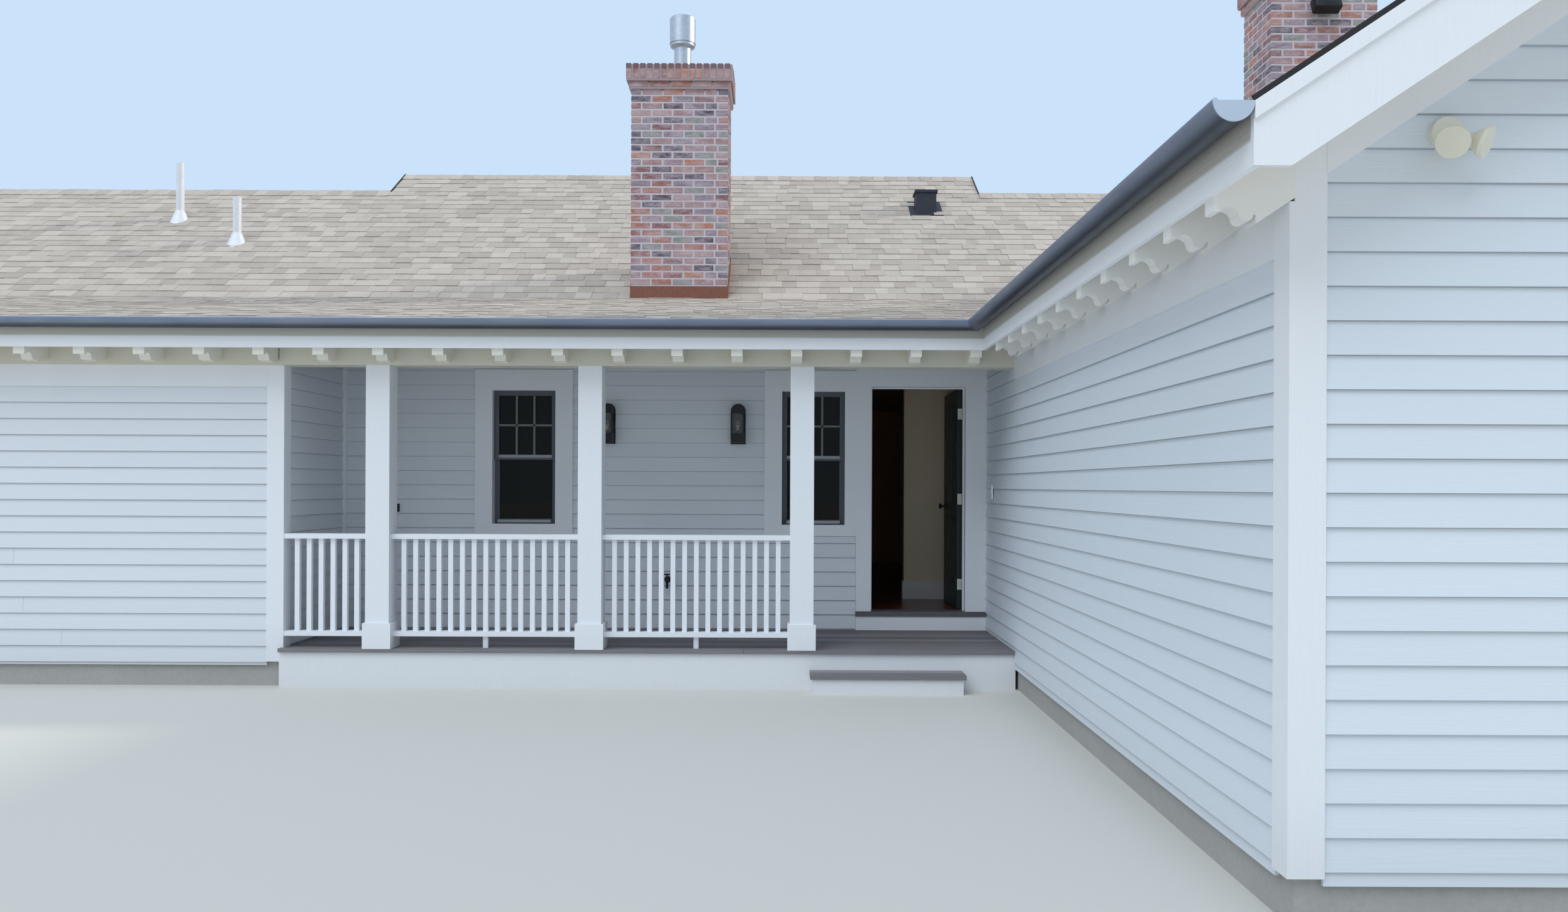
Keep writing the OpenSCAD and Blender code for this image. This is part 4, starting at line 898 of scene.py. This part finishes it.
def shingled(name, foot, along, uphill, top, spans):
    """Lays tabs from foot up to top. Between which ends a course runs, spans tells by height."""
    rise = Vector(uphill).normalized()
    normal = upwards(along.cross(rise))
    length = (top - foot[2]) / rise.z
    places, distance = [], -eave_overhang
    while distance < length - least_course:
        reach = min(shingle_course + shingle_lap, length - distance)
        base = Vector(foot) + rise * distance
        for spot, end in spans(base.z):
            while spot < end - least_tab:
                width = min(chance.uniform(narrowest, widest), end - spot)
                thick = chance.choice(TAB_THICKNESSES)
                places.append(slab(base + along * spot, along * (width - tab_gap),
                                   rise * reach - normal * tab_lean, normal * thick))
                spot += width
        distance += shingle_course
    boxes_piece(name, places, "shingles", varied=True)


# %% Valleys and the ends of courses
under_valley, under_shallow, below_ridge = 0.15, 0.27, 0.02
edge_w, edge_t = 0.010, 0.019
rake_start, raised_span = left_rake + edge_w, (raised_left + edge_w, raised_right - edge_w)
wing_start, wing_end = wing_rake + edge_w, wing_rear_rake - edge_w


def wing_edge(z):
    """Where the wing's left slope has that height."""
    return wing_mid - (ridge_z - z) / wing_slope


def low_front_spans(z):
    return [(rake_start, wing_edge(z) + under_valley)]


def main_front_spans(z):
    if z < ridge_z - below_ridge:
        return [(rake_start, min(wing_edge(z) + under_valley, wing_mid))]
    return [raised_span]


def main_rear_spans(z):
    return [(rake_start, bump_left), (bump_right, max(wing_edge(z) + under_valley, bump_right))]


def wing_left_spans(z):
    low_y, steep_y = eave_y + (z - eave_z) / shallow, break_y + (z - break_z) / steep
    front_valley = (low_y if z < break_z else steep_y) + under_shallow
    rear_valley = rear_eave_y - (z - eave_z) / steep - under_valley
    if wing_edge(z) > bump_right:
        return [(wing_start, min(front_valley, ridge_y)), (max(rear_valley, ridge_y), wing_end)]
    return [(wing_start, front_valley)]


# %% All slopes
wing_foot = wing_edge(eave_z)
for name, foot, along, uphill, top, spans in (
        ("low_front", (0, eave_y, eave_z), X_AXIS, (0, 1, shallow), break_z, low_front_spans),
        ("main_front", (0, break_y, break_z), X_AXIS, (0, 1, steep), raised_z, main_front_spans),
        ("main_rear", (0, rear_eave_y, eave_z), X_AXIS, (0, -1, steep), ridge_z, main_rear_spans),
        ("raised_rear", (0, raised_eave_y, eave_z), X_AXIS, (0, -1, steep), raised_z,
         lambda z: [raised_span]),
        ("wing_left", (wing_foot, 0, eave_z), Y_AXIS, (1, 0, wing_slope), ridge_z,
         wing_left_spans),
        ("wing_right", (wing_eave_right, 0, eave_z), Y_AXIS, (-1, 0, wing_slope), ridge_z,
         lambda z: [(wing_start, wing_end)])):
    shingled("shingles_" + name, foot, along, uphill, top, spans)

# %% [markdown]
# Seen from the front, the cut ends of the shingles make one dark line along the gable.

# %% Dark shingle ends
edge_places = []


def edge_strip(start, end, inwards):
    along = Vector(end) - Vector(start)
    normal = upwards(along.cross(inwards).normalized())
    edge_places.append(slab(Vector(start), along, inwards * edge_w, normal * edge_t))


for y, way, x0 in ((wing_rake, BACK, wing_foot), (wing_rear_rake, FRONT, bump_right)):
    z0 = eave_z if x0 == wing_foot else ridge_z - (wing_mid - x0) * wing_slope
    edge_strip((x0, y, z0), (wing_mid, y, ridge_z), way)
    edge_strip((wing_eave_right, y, eave_z), (wing_mid, y, ridge_z), way)
left_line = [(eave_y, eave_z), (break_y, break_z), (ridge_y, ridge_z), (rear_eave_y, eave_z)]
for (y0, z0), (y1, z1) in zip(left_line, left_line[1:]):
    edge_strip((left_rake, y0, z0), (left_rake, y1, z1), RIGHT)
for x, way in ((raised_left, RIGHT), (raised_right, LEFT)):
    for y, z in ((ridge_y, ridge_z), (raised_eave_y, eave_z)):
        edge_strip((x, y, z), (x, raised_y, raised_z), way)
boxes_piece("shingle_ends", edge_places, "shingle_edge", varied=True)

# %% [markdown]
# ## Ridge caps
# A cut shingle is folded over the ridge, one after another, and each covers most of the last. A
# folded cap is two leaning boxes that meet on the ridge line.

# %% Caps
cap_half, cap_t, cap_lean, cap_lap, above_ridge = 0.15, 0.007, 0.006, 0.03, 0.006


def ridge_caps(start, end, fall):
    """Caps from start to end along a level ridge whose two sides fall by that slope."""
    start, end = Vector(start), Vector(end)
    along = (end - start).normalized()
    sideways = along.cross(Z_AXIS)
    length_up = along * (shingle_course + cap_lap) - Z_AXIS * cap_lean
    for number in range(int((end - start).length / shingle_course)):
        foot = start + along * (number * shingle_course) + Z_AXIS * above_ridge
        for way in (sideways, -sideways):
            down = (way - Z_AXIS * fall).normalized() * cap_half
            yield slab(foot, down, length_up, upwards(along.cross(down).normalized()) * cap_t)


cap_places = []
for ridge in (
        ((raised_left, ridge_y, ridge_z), (left_rake, ridge_y, ridge_z), steep),
        ((raised_left, raised_y, raised_z), (raised_right, raised_y, raised_z), steep),
        ((wing_mid, wing_rake, ridge_z), (wing_mid, wing_rear_rake, ridge_z), wing_slope),
        ((raised_right, ridge_y, ridge_z), (wing_mid, ridge_y, ridge_z), steep)):
    cap_places += ridge_caps(*ridge)
boxes_piece("ridge_caps", cap_places, "shingles", varied=True)

# %% [markdown]
# ## Brick chimneys
# Each course is laid round the shaft. On even courses the long sides reach the corners, on odd
# ones the short sides do, so the corners interlock as a mason's do. The bricks stand a little
# proud of a mortar core. The top courses step out into a cap with a concrete crown.

# %% Bricks
brick_long, brick_high, brick_deep, brick_edge = 0.2035, 0.0677, 0.092, 0.03
joint, mortar_in, uneven, least_brick = 0.017, 0.004, 0.002, 0.03


def beveled_brick():
    bm = unit_box()
    bmesh.ops.bevel(bm, geom=bm.edges[:], offset=brick_edge, affect="EDGES", segments=1,
                    profile=0.5, material=-1)
    return bm


def brick_row(start, way, inward, length, unit, height):
    """Bricks of one length along one side of a course, the last one cut to fit."""
    places, spot = [], 0
    while spot < length - least_brick:
        right = min(spot + unit - joint, length)
        back = inward * chance.uniform(0, uneven)
        corner = start + way * spot + back + Z_AXIS * joint
        places.append(slab(corner, way * (right - spot), inward * brick_deep,
                           Z_AXIS * (height - joint)))
        spot += unit
    return places


def brick_course(x0, x1, y0, y1, z, height, unit, odd):
    inset, side_inset = (brick_deep + joint, 0) if odd else (0, brick_deep + joint)
    places = []
    for y, inward in ((y0, BACK), (y1, FRONT)):
        places += brick_row(Vector((x0 + inset, y, z)), X_AXIS, inward, x1 - x0 - 2 * inset, unit,
                            height)
    for x, inward in ((x0, RIGHT), (x1, LEFT)):
        places += brick_row(Vector((x, y0 + side_inset, z)), Y_AXIS, inward,
                            y1 - y0 - 2 * side_inset, unit, height)
    return places


# %% Chimneys
cap_out, corbel_out, crown_drop, crown_t, crown_in = 0.045, 0.022, 0.010, 0.05, 0.003
ORANGE_TONES = (0.05, 0.15, 0.25, 0.55, 0.97)
brick_places, brick_tones, core_places, crown_places = [], [], [], []
for lowest, highest in solids("chimneys"):
    crown_places.append(upright_box(lowest.x + brick_deep, highest.x - brick_deep,
                                    lowest.y + brick_deep, highest.y - brick_deep,
                                    highest.z - crown_t, highest.z - crown_in))
    corbel_z, shaft_z = highest.z - cap_high, highest.z - cap_high - corbel_high
    count = int((shaft_z - lowest.z) / brick_high) + 1
    for bottom, top, out, rows, unit in (
            (corbel_z, highest.z, cap_out, 1, brick_high),
            (shaft_z, corbel_z, corbel_out, 1, brick_long),
            (shaft_z - count * brick_high, shaft_z, 0, count, brick_long)):
        inset = cap_out - out
        sides = lowest.x + inset, highest.x - inset, lowest.y + inset, highest.y - inset
        step = (top - bottom) / rows
        for row in range(rows):
            added = brick_course(*sides, bottom + row * step, step, unit, row % 2)
            brick_places += added
            brick_tones += [chance.choice(ORANGE_TONES) if out else chance.random()
                            for _ in added]
        x0, x1, y0, y1 = sides
        core_places.append(upright_box(x0 + mortar_in, x1 - mortar_in, y0 + mortar_in,
                                       y1 - mortar_in, bottom, top - crown_drop))
brick_mesh = copied_mesh("chimney_bricks", beveled_brick(), brick_places, brick_tones)
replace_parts(add_piece("chimney_bricks", brick_mesh, "brick_face"), "chimneys")
boxes_piece("chimney_mortar", core_places, "mortar")
boxes_piece("chimney_crowns", crown_places, "concrete")

# %% [markdown]
# ## Window bars
# The upper sash of each window is divided into six lights by thin bars, and the lower one is
# clear. The bars stand on the outside of the pane. Paler strips cover the rails where the two
# sashes meet and the foot of the lower one.

# %% Bars
bar_w, bar_deep, bar_step, strip_h, strip_t = 0.018, 0.012, 0.001, 0.026, 0.006
bar_in, meeting_in, foot_in = upper_sash_in + 0.003, upper_sash_in - 0.004, 0.003
meeting_strip_z, foot_strip_z = meeting_z - 0.004, window_z + 0.012
pane_w = window_w - 2 * sash_w
pane_low, pane_high = meeting_z + sash_w / 2, window_top - sash_w
middle_z = (pane_low + pane_high - bar_w) / 2


def strip(window, behind, left, wide, bottom, tall, deep):
    """A strip whose front lies behind the wall's face, its left end told from the middle."""
    corner = window.spot - window.out * behind + window.across * left + Z_AXIS * bottom
    return slab(corner, window.across * wide, -window.out * deep, Z_AXIS * tall)


bar_places, strip_places = [], []
for window in windows:
    for share in (1 / 3, 2 / 3):
        bar_places.append(strip(window, bar_in, pane_w * (share - 0.5) - bar_w / 2, bar_w,
                                pane_low, pane_high - pane_low, bar_deep))
    bar_places.append(strip(window, bar_in, -pane_w / 2, pane_w, middle_z, bar_w,
                            bar_deep - bar_step))
    for behind, bottom in ((meeting_in, meeting_strip_z), (foot_in, foot_strip_z)):
        strip_places.append(strip(window, behind, -pane_w / 2, pane_w, bottom, strip_h, strip_t))
boxes_piece("window_bars", bar_places, "bar_paint")
boxes_piece("sash_strips", strip_places, "rail_strip")

# %% [markdown]
# ## The porch floor
# The deck is laid in long boards with narrow gaps, and the step in two. The boards replace the
# plain slabs.

# %% Deck boards
deck_gap, deck_board, end_gap = 0.004, 0.140, 0.002
deck_low, deck_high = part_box("porch_deck")
board_places = []
for row in range(math.ceil((deck_high.y - deck_low.y) / (deck_board + deck_gap))):
    front = deck_low.y + row * (deck_board + deck_gap)
    ends = board_ends(deck_low.x, deck_high.x)
    for start, end in zip(ends, ends[1:]):
        board_places.append(upright_box(start, end - end_gap, front,
                                        min(front + deck_board, deck_high.y),
                                        deck_low.z, deck_high.z))
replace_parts(boxes_piece("deck_boards", board_places, "decking", varied=True),
            "porch_deck")
tread_low, tread_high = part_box("step_tread")
half_board = (tread_high.y - tread_low.y - deck_gap) / 2
treads = [upright_box(tread_low.x, tread_high.x, y, y + half_board, tread_low.z, tread_high.z)
          for y in (tread_low.y, tread_high.y - half_board)]
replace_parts(boxes_piece("tread_boards", treads, "decking", varied=True), "step_tread")

# %% [markdown]
# ## Small fittings
# The last things on the walls are a hose tap, a hook, a doorbell, the bulbs and panes of the
# lanterns and a floodlight on the right-hand chimney. Round ones are turned: a profile is drawn
# and spun about an axis. Square ones are boxes with bevelled edges.

# %% Turned and bevelled parts
quarter = math.radians(90)


def set_down(bm, spot, tilt, turn):
    """Tilts a shape about X, turns it about Z and moves it to its place."""
    turned_by = Matrix.Rotation(turn, 4, "Z") @ Matrix.Rotation(tilt, 4, "X")
    bmesh.ops.transform(bm, verts=bm.verts, matrix=Matrix.Translation(spot) @ turned_by)
    return bm


def turned(profile, spot, tilt=0.0, turn=0.0, steps=32):
    """Spins a profile of (radius, height) pairs about Z."""
    bm = bmesh.new()
    verts = [bm.verts.new((radius, 0, height)) for radius, height in profile]
    edges = [bm.edges.new(pair) for pair in zip(verts, verts[1:])]
    bmesh.ops.spin(bm, geom=verts + edges, cent=(0, 0, 0), axis=(0, 0, 1), angle=math.tau,
                   steps=steps, use_merge=True)
    bmesh.ops.remove_doubles(bm, verts=bm.verts, dist=1e-5)
    bmesh.ops.recalc_face_normals(bm, faces=bm.faces)
    return set_down(bm, spot, tilt, turn)


def bevelled_box(size, spot, tilt=0.0, edge=0.004):
    bm = bmesh.new()
    bmesh.ops.create_cube(bm, size=1.0)
    bmesh.ops.scale(bm, verts=bm.verts, vec=size)
    bmesh.ops.bevel(bm, geom=bm.edges[:], offset=edge, affect="EDGES", segments=2, profile=0.5,
                    material=-1)
    return set_down(bm, spot, tilt, 0)


def joined_piece(name, parts, finish_name):
    """One piece of several shapes, smooth except at sharp edges."""
    whole = bmesh.new()
    mesh = bpy.data.meshes.new(name)
    for part in parts:
        for face in part.faces:
            face.smooth = True
        part.to_mesh(mesh)
        part.free()
        whole.from_mesh(mesh)
    whole.to_mesh(mesh)
    whole.free()
    mesh.set_sharp_from_angle(angle=math.radians(35))
    add_piece(name, mesh, finish_name)


# %% Lantern bulbs and panes
frame_out, frame_bar, pane_t, pane_in, side_in = 0.010, 0.012, 0.003, 0.004, 0.0055
pane_back, bulb_z, bulb_depth, lantern_low, lantern_high = 0.108, 0.185, 0.060, 0.095, 0.275
BULB = [(0, -0.06), (0.0135, -0.06), (0.0135, -0.03), (0.0225, -0.018), (0.0275, 0),
        (0.0235, 0.0145), (0.014, 0.024), (0, 0.0275)]
bulbs, pane_places = [], []
for lowest, highest in solids("wall_lamps"):
    middle, half = (lowest.x + highest.x) / 2, (highest.x - lowest.x) / 2 - frame_out
    front, z0, z1 = lowest.y, lowest.z + lantern_low, lowest.z + lantern_high
    bulbs.append(turned(BULB, (middle, front + bulb_depth, lowest.z + bulb_z)))
    inner = half - frame_bar
    pane_places.append(upright_box(middle - inner, middle + inner, front + pane_in,
                                   front + pane_in + pane_t, z0, z1))
    for side in (-1, 1):
        x = middle + side * (half - side_in)
        pane_places.append(upright_box(x - pane_t / 2, x + pane_t / 2, front + frame_bar,
                                       front + pane_back, z0, z1))
joined_piece("lamp_bulbs", bulbs, "bulb_white")
boxes_piece("lamp_panes", pane_places, "lantern_glass")

# %% Tap and hook on the porch wall
tap = Vector((wing_x - 2.926, porch_y - board_out, 0.771))
stem = tap + FRONT * 0.060
tap_parts = [
    turned([(0, 0), (0.030, 0), (0.030, 0.004), (0.022, 0.009), (0, 0.009)], tap, quarter),
    turned([(0, 0), (0.013, 0), (0.013, 0.045), (0.018, 0.05), (0.018, 0.072), (0, 0.076)], tap,
           quarter),
    turned([(0, 0), (0.011, 0), (0.011, 0.05), (0.015, 0.052), (0.015, 0.075), (0, 0.075)],
           stem - Z_AXIS * 0.080),
    turned([(0, 0), (0.006, 0), (0.006, 0.034), (0, 0.034)], stem + Z_AXIS * 0.012),
    turned([(0, 0), (0.028, 0), (0.032, 0.005), (0.028, 0.010), (0, 0.010)],
           stem + Z_AXIS * 0.044)]
joined_piece("hose_tap", tap_parts, "black_metal")
hook = Vector((wing_x - 5.400, porch_y - board_out, 1.417))
hook_parts = [
    bevelled_box((0.026, 0.006, 0.075), hook + FRONT * 0.003),
    turned([(0, 0), (0.006, 0), (0.006, 0.028), (0.011, 0.032), (0.011, 0.040), (0, 0.043)],
           hook + FRONT * 0.005 + Z_AXIS * 0.012, quarter, steps=20)]
joined_piece("wall_hook", hook_parts, "black_metal")

# %% Doorbell and floodlight
bell = Vector((wing_x - board_out, porch_y - 0.37, 1.584))
button = [(0, 0), (0.014, 0), (0.014, 0.003), (0, 0.005)]
bell_parts = [
    bevelled_box((0.014, 0.060, 0.130), bell + LEFT * 0.007),
    turned(button, bell + LEFT * 0.014 + Z_AXIS * 0.01, quarter, -quarter, 24)]
joined_piece("doorbell", bell_parts, "trim_paint")
right_shaft = solids("chimneys")[1][0]
flood = Vector((wing_x + 2.83, right_shaft.y + cap_out, 5.83))
bracket = flood + Z_AXIS * 0.01
flood_parts = [
    bevelled_box((0.230, 0.100, 0.130), flood + FRONT * 0.110, math.radians(-22), 0.010),
    bevelled_box((0.100, 0.014, 0.090), bracket + FRONT * 0.007),
    bevelled_box((0.036, 0.090, 0.030), bracket + FRONT * 0.050)]
joined_piece("chimney_floodlight", flood_parts, "black_metal")

# %% Baseboard in the hall
inner_low, inner_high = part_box("hall_partition")
board_h, board_d = 0.180, 0.015
base_places = [
    upright_box(inner_low.x - board_d, inner_high.x, inner_low.y - board_d, inner_low.y,
                floor_z, floor_z + board_h),
    upright_box(inner_low.x - board_d, inner_low.x, inner_low.y, inner_high.y,
                floor_z, floor_z + board_h)]
boxes_piece("baseboard", base_places, "inside_trim")

# %% [markdown]
# ## Hinge plates
# The leaf stands open into the hall, so its hinge edge faces outwards and shows the pale plates
# of its three hinges. They ride on the door, not on the house, so they turn with it.

# %% Plates on the hinge edge of the leaf
leaf_low, leaf_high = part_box("door_leaf")
plate_t, plate_in, plate_h = 0.0015, 0.004, 0.100
plate_places = []
for lowest, highest in solids("door_hinges"):
    middle = (lowest.z + highest.z) / 2
    plate_places.append(upright_box(leaf_low.x + plate_in, leaf_high.x, leaf_low.y - plate_t,
                                    leaf_low.y, middle - plate_h / 2, middle + plate_h / 2))
boxes_piece("hinge_plates", plate_places, "pale_nickel", body="front_door")

# %% [markdown]
# ## Stage and light
# The floor and the background are pale and plain. One soft lamp stands to the right, where the
# sun was, a second one as broad as an open sky stands in front, and an even surround fills the
# rest, so white paint stays just under white. The camera sees a pale blue in its place, and so
# do metal and glass.

# %% Floor
floor_half = 90.0
Finish("pale_floor").surface((212, 210, 204), 0.9)
bm = bmesh.new()
bmesh.ops.create_grid(bm, x_segments=1, y_segments=1, size=floor_half)
floor_mesh = bpy.data.meshes.new("floor")
bm.to_mesh(floor_mesh)
bm.free()
floor_mesh.materials.append(finishes["pale_floor"])
new_object("floor", floor_mesh)


# %% Lamps and surround
def add_sun(name, strength, colour, softness, tilt, turn):
    lamp = bpy.data.lights.new(name, "SUN")
    lamp.energy, lamp.color, lamp.angle = strength, colour, math.radians(softness)
    new_object(name, lamp).rotation_euler = (math.radians(tilt), 0, math.radians(turn))


add_sun("key", 1.8, (1.0, 0.94, 0.85), 4, 62, 102)
add_sun("open_sky", 1.6, (0.84, 0.92, 1.0), 50, 38, -38)

scene.world = bpy.data.worlds.new("surround")
sky = Network(scene.world, "ShaderNodeOutputWorld")
seen, mirrored, through = (sky.node("ShaderNodeLightPath", output=ray) for ray in
                           ("Is Camera Ray", "Is Glossy Ray", "Is Transmission Ray"))
fill, backdrop = (sky.node("ShaderNodeBackground", inputs={"Color": colour, "Strength": strength})
                  for colour, strength in (((0.77, 0.885, 1.0, 1.0), 0.66), ((203, 226, 251), 1.0)))
sky.connect(sky.end, sky.node("ShaderNodeMixShader", inputs={
    0: seen.larger(mirrored).larger(through), 1: fill, 2: backdrop}))

# %% View settings
scene.view_settings.view_transform = "Standard"
